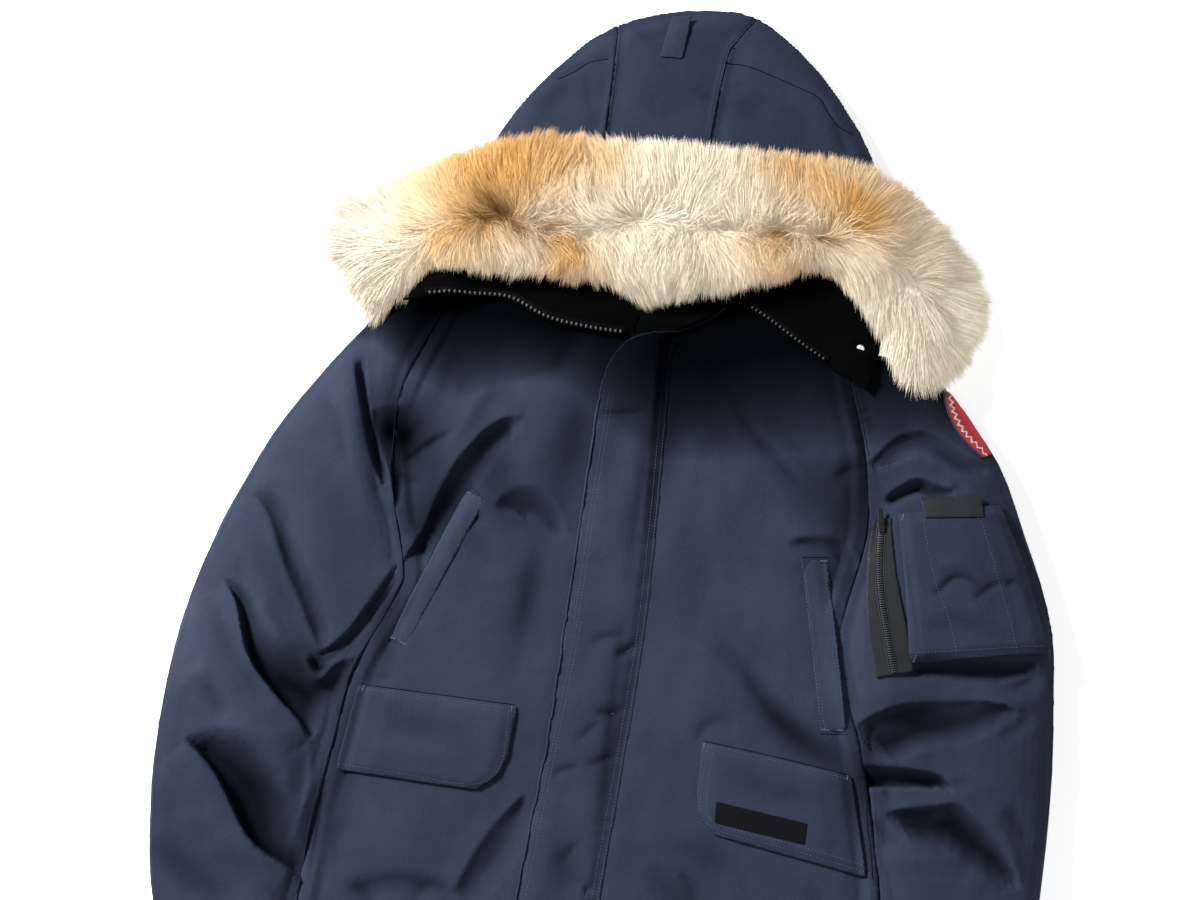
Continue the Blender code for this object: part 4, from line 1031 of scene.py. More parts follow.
# ---- materials ----
class Finish:
    """A principled material, with short ways to add and wire its nodes."""

    def __init__(self, name, colour, rough, metal=0.0, sheen=0.0, specular=0.35):
        self.made = bpy.data.materials.new(name)
        self.made.use_nodes = True
        self.tree = self.made.node_tree
        self.set(Base_Color=(*colour, 1), Roughness=rough, Metallic=metal, Sheen_Weight=sheen,
                 Sheen_Roughness=0.45, Sheen_Tint=(*[min(1.0, 0.35 + 3 * c) for c in colour], 1),
                 Specular_IOR_Level=specular)

    def fill(self, node, inputs):
        """Set or wire inputs of a node, given by name with _ for a space, or by place as i0, i1 and so on."""
        for key, value in inputs.items():
            socket = node.inputs[int(key[1:])] if key[1:].isdigit() else node.inputs[key.replace("_", " ")]
            if isinstance(value, bpy.types.NodeSocket):
                self.tree.links.new(value, socket)
            else:
                socket.default_value = value
        return node

    def set(self, **inputs):
        """Set or wire the shader's own sockets."""
        self.fill(self.tree.nodes["Principled BSDF"], inputs)
        return self.made

    def add(self, kind, settings=None, **inputs):
        node = self.tree.nodes.new("ShaderNode" + kind)
        for key, value in (settings or {}).items():
            setattr(node, key, value)
        return self.fill(node, inputs)

    def at(self):
        return self.add("TexCoord").outputs["Object"]

    def specks(self, scale, detail, **more):
        return self.add("TexNoise", Vector=self.at(), Scale=scale, Detail=detail, **more).outputs["Fac"]

    def bands(self, way, scale, **more):
        settings = {"wave_type": "BANDS", "bands_direction": way}
        return self.add("TexWave", settings, Vector=self.at(), Scale=scale, **more).outputs["Fac"]

    def kept(self, name, output="Fac"):
        """What is kept under a name on the piece's points."""
        return self.add("Attribute", {"attribute_name": name}).outputs[output]

    def calc(self, operation, *values):
        inputs = {f"i{k}": value for k, value in enumerate(values)}
        return self.add("Math", {"operation": operation}, **inputs).outputs[0]

    def mapped(self, value, low, high, start=0.3, full=0.7):
        """low where the value is start, high where it is full, and even in between."""
        ends = {"From_Min": start, "From_Max": full, "To_Min": low, "To_Max": high}
        return self.add("MapRange", Value=value, **ends).outputs[0]

    def mix(self, factor, dark, light):
        return self.add("Mix", {"data_type": "RGBA"}, i0=factor, i6=dark, i7=light).outputs[2]

    def shade(self, factor, colour, dark, light):
        """The colour from darker to lighter, by shares of itself."""
        return self.mix(factor, (*[c * dark for c in colour], 1), (*[c * light for c in colour], 1))

    def toned(self, tone, colour):
        return self.add("HueSaturation", Value=tone, Color=colour).outputs[0]

    def bump(self, strength, distance, height, **under):
        return self.add("Bump", Strength=strength, Distance=distance, Height=height, **under).outputs[0]


def wave_scale(pitch):
    """Scale of a wave texture whose bands are one pitch apart."""
    return 2 * math.pi / (20 * pitch)


def woven(name, colour, pitch, rough=0.8, sheen=0.01, mottle=0.2, specular=0.04):
    """Plain-woven cloth: crossed threads, soft mottling, fine crinkles in its surface, and the painted shade
    kept on its points.
    """
    m = Finish(name, colour, rough, sheen=sheen, specular=specular)
    grain = m.specks(0.55 / pitch, 3.0, Roughness=0.65)
    half = m.mapped(m.calc("ADD", m.specks(11.0, 3.0), grain), 0, 1, 0.7, 1.3)
    # painted shade: the kept shade darkens the colour, the specular and the sheen
    tone = m.kept("shade")
    warp, weft = (m.bands(way, wave_scale(pitch), Distortion=1.2, Detail=1.0, Detail_Scale=0.6)
                  for way in "XY")
    threads = m.calc("MULTIPLY_ADD", grain, 1.2, m.calc("MAXIMUM", warp, weft))
    folds = m.specks(42.0, 4.0, Roughness=0.55, Distortion=0.8)
    return m.set(Base_Color=m.toned(tone, m.shade(half, colour, 1 - mottle, 1 + mottle)),
                 Specular_IOR_Level=m.calc("MULTIPLY", tone, specular),
                 Sheen_Weight=m.calc("MULTIPLY", tone, sheen),
                 Roughness=m.mapped(grain, rough - 0.07, rough + 0.08),
                 Normal=m.bump(0.5, 0.0014, folds, Normal=m.bump(0.55, 0.00022, threads)))


def fleece(name, colour):
    """Brushed knit: short nap that catches light at grazing angles."""
    m = Finish(name, colour, 0.95, sheen=0.012, specular=0.03)
    nap = m.specks(620.0, 4.0, Roughness=0.7)
    tufts = m.add("TexVoronoi", Vector=m.at(), Scale=260.0).outputs["Distance"]
    return m.set(Base_Color=m.shade(nap, colour, 0.5, 1.7),
                 Normal=m.bump(0.5, 0.0008, tufts, Normal=m.bump(0.7, 0.0006, nap)))


def twill(name, colour, pitch, light=1.5, gloss=0.35):
    """Ribbed tape: diagonal ribs, with a painted highlight on their crowns."""
    m = Finish(name, colour, 0.62, sheen=0.1 * gloss / 0.35, specular=gloss)
    ribs = m.bands("DIAGONAL", wave_scale(pitch), Distortion=0.6, Detail=2.0)
    both = m.calc("MULTIPLY", ribs, m.specks(900.0, 3.0))
    return m.set(Base_Color=m.shade(both, colour, 0.7, light), Normal=m.bump(0.6, 0.0003, both))


def worn_metal(name, colour, rough):
    m = Finish(name, colour, rough, metal=1.0, specular=0.5)
    wear = m.specks(700.0, 5.0, Roughness=0.6)
    dark, light = [c * 0.75 for c in colour], [min(1, c * 1.2) for c in colour]
    return m.set(Base_Color=m.mix(wear, (*dark, 1), (*light, 1)),
                 Roughness=m.mapped(wear, rough - 0.08, rough + 0.14), Normal=m.bump(0.15, 0.0002, wear))


def moulded(name, colour, rough=0.42):
    m = Finish(name, colour, rough, specular=0.5)
    wear = m.specks(1400.0, 3.0)
    return m.set(Base_Color=m.shade(wear, colour, 0.7, 1.5), Normal=m.bump(0.2, 0.0001, wear))


def spun(name, colour):
    """Sewing thread: two twisted plies, darkened by the painted shade kept on its points."""
    m = Finish(name, colour, 0.55, sheen=0.1)
    ply, tone = m.bands("DIAGONAL", 520.0), m.kept("shade")
    return m.set(Base_Color=m.toned(tone, m.shade(ply, colour, 0.75, 1.2)),
                 Specular_IOR_Level=m.calc("MULTIPLY", tone, 0.2),
                 Sheen_Weight=m.calc("MULTIPLY", tone, 0.05),
                 Normal=m.bump(0.4, 0.0002, ply))


def hairy(name):
    """Fur: the tint is kept on each hair, with a slight change from one spot to the next, and a painted glow.
    """
    m = Finish(name, (0.8, 0.7, 0.5), 0.5, sheen=0.15, specular=0.25)
    fleck = m.specks(160.0, 3.0)
    warm = m.toned(m.mapped(fleck, 0.9, 1.08), m.kept("tint", "Color"))
    return m.set(Base_Color=warm, Sheen_Tint=(1.0, 0.95, 0.85, 1),
                 # painted glow: emission in the hair's own tint stands in for light passed from hair to hair
                 Emission_Color=warm, Emission_Strength=0.3,  # light that has passed from hair to hair
                 Normal=m.bump(0.12, 0.0004, fleck, Normal=m.kept("nap", "Vector")))


def satin_label(name, colour):
    """Bare woven label: fine ribs across it."""
    m = Finish(name, colour, 0.5, sheen=0.08, specular=0.08)
    both = m.calc("MULTIPLY", m.bands("Y", 480.0, Distortion=0.3), m.specks(1100.0, 3.0))
    return m.set(Base_Color=m.shade(both, colour, 0.7, 2.2), Normal=m.bump(0.5, 0.0002, both))


def embroidered(name, field, chevron, edge):
    """Arm patch: a whipped edge, a red field and a row of chevrons, by distances in mm kept on the patch."""
    m = Finish(name, field, 0.6, sheen=0.15)
    inward, run, _ = m.add("SeparateXYZ", Vector=m.kept("patch", "Vector")).outputs
    band = m.calc("SUBTRACT", inward, m.calc("PINGPONG", run, CHEVRON_RISE))
    off = m.calc("ABSOLUTE", m.calc("SUBTRACT", band, CHEVRON_IN))
    inner = m.mix(m.calc("LESS_THAN", off, CHEVRON_HALF), (*field, 1), (*chevron, 1))
    rim = m.mix(m.calc("LESS_THAN", inward, WHIPPED_EDGE), inner, (*edge, 1))
    stitch = m.calc("PINGPONG", m.calc("ADD", run, inward), PATCH_THREAD)
    return m.set(Base_Color=m.toned(m.mapped(stitch, 0.72, 1.1, 0, PATCH_THREAD), rim),
                 Normal=m.bump(0.8, 0.0006, stitch))


def dimmed(colour, share):
    return [v * share for v in colour]


def finish_of(name):
    """One material for each finish, made when first asked for."""
    if name in bpy.data.materials:
        return bpy.data.materials[name]
    c, cloth = bpy.context.scene.jacket_colours, bpy.context.scene.jacket_cloth
    make = {
        "shell_cloth": lambda: woven(name, c.shell, cloth.weave),
        "seam_shadow": lambda: woven(name, dimmed(c.shell, 0.3), cloth.weave),
        "collar_fleece": lambda: fleece(name, c.fleece),
        "ribbed_tape": lambda: twill(name, dimmed(c.tape, 0.75), 0.0016),
        "dark_tape": lambda: twill(name, dimmed(c.tape, 0.08), 0.0016, 1.5, 0.03),
        "pen_webbing": lambda: twill(name, dimmed(c.tape, 0.62), 0.0012),
        "navy_thread": lambda: spun(name, c.thread),
        "black_thread": lambda: spun(name, dimmed(c.tape, 1.6)),
        # painted shade: the left collar zip's teeth, the same as the grey ones, darkened to sit in the ruff's
        # shadow
        "moulded_teeth": lambda: moulded(name, dimmed(c.teeth, 0.4)),
        "grey_teeth": lambda: moulded(name, dimmed(c.teeth, 1.3)),
        "slider_metal": lambda: worn_metal(name, dimmed(c.metal, 0.3), 0.32),
        # painted reflection: the nickel snap is light grey without metal, its shine painted into its colour
        "snap_nickel": lambda: moulded(name, (0.60, 0.61, 0.62), 0.3),
        "ruff_fur": lambda: hairy(name),
        "label_satin": lambda: satin_label(name, (0.006, 0.006, 0.007)),
        "patch_thread": lambda: embroidered(name, c.red, c.white, c.edge)}
    return make[name]()


# ---- operators ----
class JACKET_OT_body(bpy.types.Operator):
    """Make the back and the two fronts"""
    bl_idname, bl_label = "jacket.make_body", "Body"

    def execute(self, context):
        cloth, shell = context.scene.jacket_cloth, finish_of("shell_cloth")
        back = panel("back", cloth.back_grid, BACK_FLOOR, 3, 0)
        dress(back, "back", shell, keep=0.6)
        for node in ("front_right", "front_left"):
            dress(panel(node, cloth.panel_grid, INSIDE), node, shell, keep=0.55)
        return {"FINISHED"}


class JACKET_OT_sleeves(bpy.types.Operator):
    """Make the two sleeves"""
    bl_idname, bl_label = "jacket.make_sleeves", "Sleeves"

    def execute(self, context):
        for node in ("sleeve_right", "sleeve_left"):
            o = panel(node, context.scene.jacket_cloth.panel_grid, INSIDE)
            co = places(o.data)
            between = np.exp(-(((co[:, 2] / MM - CUFF_MIDDLE) / 3.2) ** 2))  # its upper and its under side
            co[:, 1] += CUFF_MOUTH * MM * (between * ramp(co[:, 1] / MM, CUFF_END + 14, CUFF_END))
            put(o.data, co)
            dress(o, node, finish_of("shell_cloth"), keep=0.55)
        return {"FINISHED"}


class JACKET_OT_hood(bpy.types.Operator):
    """Make the three panels of the hood"""
    bl_idname, bl_label = "jacket.make_hood", "Hood"

    def execute(self, context):
        for node in ("hood_side_right", "hood_centre", "hood_side_left"):
            o = panel(node, context.scene.jacket_cloth.panel_grid * 1.1, INSIDE, 9, 30)
            dress(o, node, finish_of("shell_cloth"), keep=0.7)
        return {"FINISHED"}


class JACKET_OT_storm_flap(bpy.types.Operator):
    """Make the storm flap over the front zip"""
    bl_idname, bl_label = "jacket.make_storm_flap", "Storm flap"

    def execute(self, context):
        under = ["front_right", "front_left"]
        o = laid("storm_flap", STORM_GRID, under + ["hood_centre"], 3, 12)
        co = places(o.data)
        tuck = ramp(co[:, 1] / MM, *STORM_TOP)
        co += np.column_stack([by * tuck for by in STORM_TUCK]) * MM
        side, _, _ = reach(co[:, :2] / MM, along(STORM_SEWN, 120))
        close = np.flatnonzero(np.abs(side) < STORM_SEWN_WIDTH)
        level = heights(co[close], cloths(under))
        flat = np.clip(1.25 - np.abs(side[close]) / 12, 0, 1) * ~np.isnan(level)
        top = np.clip(0.5 + normals(o.data)[close, 2] * 1.5, 0, 1)
        co[close, 2] += flat * (np.nan_to_num(level) + (0.6 * top - 0.8 * (1 - top)) * MM - co[close, 2])
        to_free_edge = np.clip((STORM_SEWN_X * MM - co[:, 0]) / (STORM_WIDTH * MM), 0, 1)
        co[:, 0] -= STORM_WIDER * MM * to_free_edge * ramp(co[:, 1] / MM, *STORM_WIDENS)
        rows = [(STORM_FREE, 0.2, 0.5, 15), (moved(along(STORM_SEWN, 60), -12), 0.2, 0.6, 23)]
        co[:, 2] += puckered(co[:, :2] / MM, rows, 5.0) * MM
        put(o.data, co)
        dress(o, "storm_flap", finish_of("shell_cloth"),
              keep=0.5)
        return {"FINISHED"}


class JACKET_OT_collar(bpy.types.Operator):
    """Make the fleece-faced fronts of the collar"""
    bl_idname, bl_label = "jacket.make_collar", "Collar"

    def execute(self, context):
        for node in ("collar_right", "collar_left"):
            o = laid(node, COLLAR_GRID, CAD_BASE, 4, 8)
            co = places(o.data)
            share, start, full = COLLAR_ENDS[node]
            co[:, 0] += COLLAR_LONGER * MM * (share * ramp(co[:, 0] / MM, start, full))
            if node == "collar_left":
                away = np.linalg.norm((co - places(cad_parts["snap"].data).mean(0))[:, :2], axis=1)
                co[:, 2] -= SNAP_SINK * MM * np.exp(-((away / SNAP_REACH) ** 4))
            put(o.data, co)
            dress(o, node, finish_of("collar_fleece"), keep=0.6)
        return {"FINISHED"}


class JACKET_OT_pockets(bpy.types.Operator):
    """Make the front flaps, the welts and the sleeve pocket"""
    bl_idname, bl_label = "jacket.make_pockets", "Pockets"

    def execute(self, context):
        grid = context.scene.jacket_cloth.small_grid
        for node, on, flat, sink in (
                ("flap_right", "front_right", (0.18, 0.10), 0.0006),
                ("flap_left", "front_left", (0.19, 0.11), 0.0006),
                ("welt_right", "front_right", (0.027, 0.19), 0.0024),
                ("welt_left", "front_left", (0.03, 0.19), 0.0024),
                ("sleeve_pocket", "sleeve_left", (0.15, 0.17), 0.0006)):
            o = laid(node, grid, [on], 1, 4, sink)
            dress(o, node, finish_of("shell_cloth"), keep=0.5)
        return {"FINISHED"}


class JACKET_OT_zips(bpy.types.Operator):
    """Make the zip tapes with their teeth, and the pen strip"""
    bl_idname, bl_label = "jacket.make_zips", "Zips and tapes"

    def execute(self, context):
        grid = context.scene.jacket_cloth.trim_grid
        pocket = ["sleeve_left", "sleeve_pocket"]
        neck = ["collar_right", "collar_left", "front_left"]
        for node, on, tape, flat in (
                ("pen_strip", pocket, "pen_webbing", (0.067, 0.026)),
                ("pocket_zip", pocket, "ribbed_tape", (0.030, 0.175)),
                ("zip_right", neck, "dark_tape", None),
                ("zip_left", neck, "dark_tape", None)):
            o = laid(node, grid, on, 2, 2, 0.0001)
            if node == "pocket_zip":
                self.widen(o)
            dress(o, node, finish_of(tape), keep=0.3)
        for name, curve, by, on, pitch, size, finish in (
                ("zip_right_teeth", ZIP_R, 1.2, "zip_right", 5.6, (3.0, 4.2, 2.6), "grey_teeth"),
                # its teeth are darker as painted shade under the ruff
                ("zip_left_teeth", ZIP_L, 1.2, "zip_left", 5.6, (3.0, 4.2, 2.2), "moulded_teeth"),
                ("pocket_zip_coil", POCKET_ZIP, 0.0, "pocket_zip", 2.5, (1.4, 6.4, 2.0), "grey_teeth")):
            spots, turns = set_on(moved(stepped(curve, pitch), by), cloths([on]), 0.0006)
            o = scatter(name, block("tooth", [v * MM for v in size], size[0] * MM * 0.28), spots, turns)
            dress(o, None, finish_of(finish))
        return {"FINISHED"}

    def widen(self, o):
        """The pocket zip's tape widens from the slider down."""
        co, line = places(o.data), along(POCKET_ZIP, 120)
        side, t, k = reach(co[:, :2] / MM, line)
        more = side * np.interp(t, (0, 0.25, 0.7, 1), (0.25, 0.75, 1.05, 0.8)) * MM
        co[:, :2] += more[:, None] * to_left(directions(line)[k])
        put(o.data, co)


class JACKET_OT_trims(bpy.types.Operator):
    """Make the hood's tab, the bare label and the arm patch"""
    bl_idname, bl_label = "jacket.make_trims", "Tab, label and patch"

    def execute(self, context):
        o = laid("hood_tab", context.scene.jacket_cloth.trim_grid * 1.3, ["hood_centre"], 2, 2)
        co = places(o.data)
        co[:, 1] += TAB_LONGER * MM * ramp(co[:, 1] / MM, *TAB_END)
        put(o.data, co)
        dress(o, "hood_tab", finish_of("shell_cloth"))
        o = laid("label", LABEL_GRID, ["front_left", "flap_left"], 1, 1, 0.0)
        dress(o, "label", finish_of("label_satin"),
              keep=0.25)
        o = laid("arm_patch", PATCH_GRID, ["sleeve_left"], 1, 1, 0.0)
        side, t, _ = reach(plan_of(o), along(PATCH_EDGE, 60))
        inward_and_run = np.column_stack([np.abs(side), t * PATCH_RUN, np.zeros(len(side))])
        keep_value(o.data, "patch", "FLOAT_VECTOR", inward_and_run)
        dress(o, "arm_patch", finish_of("patch_thread"),
              keep=0.5)
        return {"FINISHED"}


class JACKET_OT_fastenings(bpy.types.Operator):
    """Give the pocket's slider, its pull and the snap their materials"""
    bl_idname, bl_label = "jacket.make_fastenings", "Slider and snap"

    def execute(self, context):
        for node, finish in (
                ("pocket_slider", "slider_metal"), ("pull_tab", "slider_metal"), ("snap", "snap_nickel")):
            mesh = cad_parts[node].data
            mesh.materials.clear()
            mesh.materials.append(finish_of(finish))
        return {"FINISHED"}


class JACKET_OT_stitches(bpy.types.Operator):
    """Sew the piping, the dark cords of painted shadow along seams and beside the zip, the rows of stitches and
    the bartacks
    """
    bl_idname, bl_label = "jacket.make_stitches", "Stitches"

    def execute(self, context):
        self.lines()
        groups = {"shell": ([], []), "tape": ([], [])}
        pitch = context.scene.jacket_cloth.stitch / MM
        for curve, rows, on in STITCHES:
            for by in rows:
                spots, turns = set_on(moved(stepped(curve, pitch), by), cloths([on]), 0.00012)
                group = groups["tape" if on in ("pocket_zip", "pen_strip") else "shell"]
                group[0].extend(spots)
                group[1].extend(turns)
        for middle, angle, on in BARTACKS:
            a = math.radians(angle)
            line = np.array(middle) + np.outer(np.linspace(-4, 4, 12), (math.cos(a), math.sin(a)))
            spots, turns = set_on(line, cloths([on]), 0.0003)
            for k, turn in enumerate(turns):
                turn.rotate_axis("Z", math.radians(75 if k % 2 else 105))
            groups["shell"][0].extend(spots)
            groups["shell"][1].extend(turns)
        for group, finish, slot, node in (
                ("shell", "navy_thread", "navy_shell", "front"), ("tape", "black_thread", "black_tape", "")):
            o = scatter(f"stitches_{group}", bead("stitch", STITCH_SIZE), *groups[group])
            # painted shadow of the ruff on the navy threads; the tape threads stay fully lit
            keep_shade(o, painted_shade(plan_of(o), node))
            dress(o, None, finish_of(finish))
        return {"FINISHED"}

    def lines(self):
        """The storm flap's piping, dark cords beside the pocket's zip as painted shade in its grooves, and dark
        cords as painted shadow where pieces meet.
        """
        every = cloths(CAD_BASE + ["storm_flap", "collar_left", "flap_right", "flap_left", "sleeve_pocket"])
        co = places(bpy.data.objects["storm_flap_cloth"].data) / MM
        edge = [(co[np.abs(co[:, 1] - y) < 4, 0].min() + 0.6, y) for y in range(-420, 250, 24)]
        for name, rows, on, radius, lift, evens, finish, slot in (
                ("piping", [(edge + PIPING_TOP, 0)], every, 0.0013, 0.0011, 30, "shell_cloth", "navy_shell"),
                # painted shade: dark cords where the coil's grooves are
                ("zip_grooves", [(POCKET_ZIP, 4.4), (POCKET_ZIP, -4.4)], ["pocket_zip_cloth"], 0.0006, 0.0, 0,
                 "black_thread", "black_tape"),
                # painted shadow: dark cords along the seams
                ("seam_lines", SEAM_SHADOW_LINES, every, 0.00055, 0.0, 0, "seam_shadow", "navy_shell")):
            dress(cords(name, rows, on, radius, lift, evens), None, finish_of(finish))


class JACKET_OT_fur(bpy.types.Operator):
    """Make the fur ruff: a soft core under long clumped hairs"""
    bl_idname, bl_label = "jacket.make_fur", "Fur ruff"

    def execute(self, context):
        core = self.core()
        dress(core, "fur_ruff", finish_of("ruff_fur"))
        strands, tints, widths, nap = self.hairs(context.scene.jacket_fur, core)
        order = np.argsort(strands[:, 0, 0])
        names = ("ruff_hair_right", "ruff_hair_middle", "ruff_hair_left")
        for name, part in zip(names, np.array_split(order, 3)):
            o = self.ribbons(name, strands[part], tints[part], widths[part], nap[part])
            dress(o, None, finish_of("ruff_fur"))
        return {"FINISHED"}

    def core(self):
        """The pelt: the solid drawn in towards the parting and down, a little darker than the hairs."""
        o = even_copy("fur_ruff", PELT_GRID, 10)
        co = places(o.data)
        parting = along(PARTING, 160)
        _, _, k = reach(co[:, :2] / MM, parting)
        middle = parting[k] * MM
        co[:, :2] = middle + PELT_WIDTH * (co[:, :2] - middle)
        below = spread(o.data, heights(co, cloths(UNDER_RUFF)), 12)
        co[:, 2] = below + PELT_HEIGHT * np.maximum(co[:, 2] - below, 0) + 0.0002
        put(o.data, co)
        tint = fur_tint(co) * 0.92
        keep_value(o.data, "tint", "FLOAT_COLOR", np.column_stack([tint, np.ones(len(tint))]))
        keep_value(o.data, "nap", "FLOAT_VECTOR", normals(o.data))
        return o

    def hairs(self, fur, core):
        """Each hair's four points, its tints from root to tip, its width, and the way it faces the light."""
        rng = np.random.default_rng(11)
        root, up = self.roots(core.data, fur.hairs, rng)
        out, far = self.combed(root, rng)
        share = ramp(far, 0, 60)
        start = up * (1.0 - 0.55 * share)[:, None]
        start[:, :2] += out * (0.35 + 0.75 * share)[:, None]
        start += rng.normal(0, 0.12, start.shape)
        end = np.column_stack([out, -0.30 - 0.35 * share + rng.normal(0, 0.16, len(root))])
        long = self.lengths(fur.length, root, out, far, rng)
        points = [root]
        for step in range(3):
            t = (step + 0.5) / 3
            points.append(points[-1] + unit(start * (1 - t) + end * t) * (long / 3)[:, None])
        strands = self.clumped(np.stack(points, axis=1), fur.clump, rng)
        ground = heights(strands[:, -1], cloths(UNDER_RUFF + ["storm_flap"]), 0.0)
        lift = np.maximum(ground + 0.0015 - strands[:, -1, 2], 0)
        strands[:, :, 2] += lift[:, None] * np.linspace(0, 1, 4)[None]
        strands[:, :, 2] = np.maximum(strands[:, :, 2], 0.001)
        tone = fur_tint(root * 0.7 + strands[:, -1] * 0.3) * rng.normal(1, 0.06, len(root))[:, None]
        tone[rng.random(len(root)) < 0.03] *= 0.7
        tints = np.clip(tone[:, None] * np.array(HAIR_TONES)[None, :, None], 0, 0.97)
        # light falls on the fur as on one soft body: its own rounding, bent across each hair
        body = up * 0.5 + np.column_stack([out * 0.4 * share[:, None], np.full(len(root), 0.55)])
        run = unit(strands[:, -1] - strands[:, 0])
        nap = unit(body - 0.4 * run * (body * run).sum(1)[:, None] + rng.normal(0, 0.05, body.shape))
        return strands, tints, rng.normal(1, 0.22, len(root)).clip(0.5, 1.6), nap

    def roots(self, mesh, count, rng):
        """Even places on the upper side of the pelt, and the way it faces there."""
        mesh.calc_loop_triangles()
        tri = np.empty(len(mesh.loop_triangles) * 3, int)
        mesh.loop_triangles.foreach_get("vertices", tri)
        tri = places(mesh)[tri.reshape(-1, 3)]
        face = np.cross(tri[:, 1] - tri[:, 0], tri[:, 2] - tri[:, 0])
        area = np.linalg.norm(face, axis=1) * (face[:, 2] > -0.15 * np.linalg.norm(face, axis=1))
        pick = rng.choice(len(tri), count, p=area / area.sum())
        a, b = rng.random((2, count))
        a, b = np.where(a + b > 1, 1 - a, a), np.where(a + b > 1, 1 - b, b)
        corner, first, second = tri[pick, 0], tri[pick, 1], tri[pick, 2]
        return corner + a[:, None] * (first - corner) + b[:, None] * (second - corner), unit(face[pick])

    def combed(self, root, rng):
        """The way each hair runs in plan, and its distance in mm from the middle part of the parting."""
        at, ways = root[:, :2] / MM, []
        wander = np.column_stack([3 * smooth_noise(root, 0.03, 61.0), 14 * smooth_noise(root, 0.03, 71.0)])
        for line in (PARTING, PARTING_MIDDLE):  # away from the parting, and at its ends outward
            away = at - self.near(at, along(line, 80), 26) + wander
            ways.append(unit(away, 1e-6))
        far = np.linalg.norm(away, axis=1)
        out = unit(0.8 * ways[0] + 0.55 * ways[1], 1e-6)
        swirl = smooth_noise(root, 0.045, 1.0) + 0.5 * smooth_noise(root, 0.014, 5.0)
        swirl += rng.normal(0, 0.16, len(root))
        swirl *= 0.45 + 1.9 * np.exp(-((far / 20) ** 2))  # strongest near the parting
        c, s = np.cos(swirl), np.sin(swirl)
        return np.column_stack([c * out[:, 0] - s * out[:, 1], s * out[:, 0] + c * out[:, 1]]), far

    def near(self, at, line, soft):
        """The place on a line that each point is near, softened so that a bend in it fans no hairs out."""
        place = np.empty_like(at)
        for part in np.array_split(np.arange(len(at)), 12):
            d = ((at[part][:, None] - line[None]) ** 2).sum(2)
            w = np.exp(-(d - d.min(1)[:, None]) / (2 * soft**2))
            place[part] = w @ line / w.sum(1)[:, None]
        return place

    def lengths(self, mean, root, out, far, rng):
        """Length of each hair. The outer hairs end just past the ruff's outline."""
        long = mean * (1 + 0.16 * rng.normal(0, 1, len(root)) + 0.22 * smooth_noise(root, 0.02, 9.0))
        long *= 0.84 + 0.16 * ramp(far, 0, 22)
        room = self.room(root[:, :2] / MM, out) * MM + rng.normal(0.0005, 0.0038, len(root))
        room += 0.007 * smooth_noise(root, 0.013, 51.0)
        return np.clip(np.minimum(long, np.maximum(room, SHORTEST_HAIR) * 1.06), SHORTEST_HAIR, LONGEST_HAIR)

    def room(self, at, out):
        """Distance in mm from each plan point to the ruff's outline along a direction."""
        low, top = along([r[:2] for r in RUFF], 40), along([r[2:] for r in RUFF], 40)
        ring = np.vstack([low, top[::-1], low[:1]])
        best = np.full(len(at), RUFF_REACH)
        for p, q in zip(ring, ring[1:]):
            e, d = q - p, p - at
            cross = out[:, 0] * e[1] - out[:, 1] * e[0]
            with np.errstate(divide="ignore", invalid="ignore"):
                t = (d[:, 0] * e[1] - d[:, 1] * e[0]) / cross
                u = (d[:, 0] * out[:, 1] - d[:, 1] * out[:, 0]) / cross
            good = (np.abs(cross) > 1e-9) & (t > 0) & (u >= 0) & (u <= 1)
            best = np.where(good, np.minimum(best, np.where(good, t, RUFF_REACH)), best)
        return best

    def clumped(self, strands, clump, rng):
        """The hairs drawn together towards their tips, in broad locks and in small ones, and roughened."""
        root = strands[:, 0].copy()
        for count, pull in ((BROAD_LOCKS, BROAD_PULL), (SMALL_LOCKS, clump)):
            lead = rng.choice(len(root), count, replace=False)
            tree = kdtree.KDTree(count)
            for i, j in enumerate(lead):
                tree.insert(root[j], i)
            tree.balance()
            follow = lead[[tree.find(p)[1] for p in root]]
            draw = pull * np.linspace(0, 1, 4) ** 1.5
            strands += draw[None, :, None] * (strands[follow] - strands)
        strands[:, 1:] += rng.normal(0, 1, (len(root), 1, 3)) * np.linspace(0.0003, 0.0014, 3)[None, :, None]
        return strands

    def ribbons(self, name, strands, tints, widths, nap):
        """Hairs as narrow tapered ribbons, by Geometry Nodes from guide curves."""
        count, points = strands.shape[:2]
        rng = np.random.default_rng(count)
        guides = bpy.data.hair_curves.new(name)
        guides.add_curves([points] * count)
        guides.attributes["position"].data.foreach_set("vector", strands.astype(np.float32).ravel())
        rgba = np.concatenate([tints, np.ones((count, points, 1))], axis=2)
        keep_value(guides, "tint", "FLOAT_COLOR", rgba)
        keep_value(guides, "nap", "FLOAT_VECTOR", np.repeat(nap, points, 0))
        wide = np.array(HAIR_TAPER)[None] * widths[:, None] * bpy.context.scene.jacket_fur.width
        keep_value(guides, "wide", "FLOAT", wide)
        keep_value(guides, "tilt", "FLOAT", np.repeat(rng.uniform(-1.2, 1.2, count), points))
        source = link(name + "_guides", guides)
        o = link(name, bpy.data.meshes.new(name))
        tree, n, wire = geometry_tree(name)
        info, kind = n.new("GeometryNodeObjectInfo"), n.new("GeometryNodeCurveSplineType")
        line, mesh = n.new("GeometryNodeCurvePrimitiveLine"), n.new("GeometryNodeCurveToMesh")
        info.inputs["Object"].default_value = source
        kind.spline_type = "POLY"
        line.inputs["Start"].default_value, line.inputs["End"].default_value = (-0.5, 0, 0), (0.5, 0, 0)
        wire(info.outputs["Geometry"], kind.inputs["Curve"])
        wire(kind.outputs["Curve"], mesh.inputs["Curve"])
        wire(line.outputs["Curve"], mesh.inputs["Profile Curve"])
        wire(kept_value(n, "wide", "FLOAT").outputs["Attribute"], mesh.inputs["Scale"])
        wire(mesh.outputs["Mesh"], n["Group Output"].inputs[0])
        shaped(o, tree)
        bpy.data.objects.remove(source)
        return o


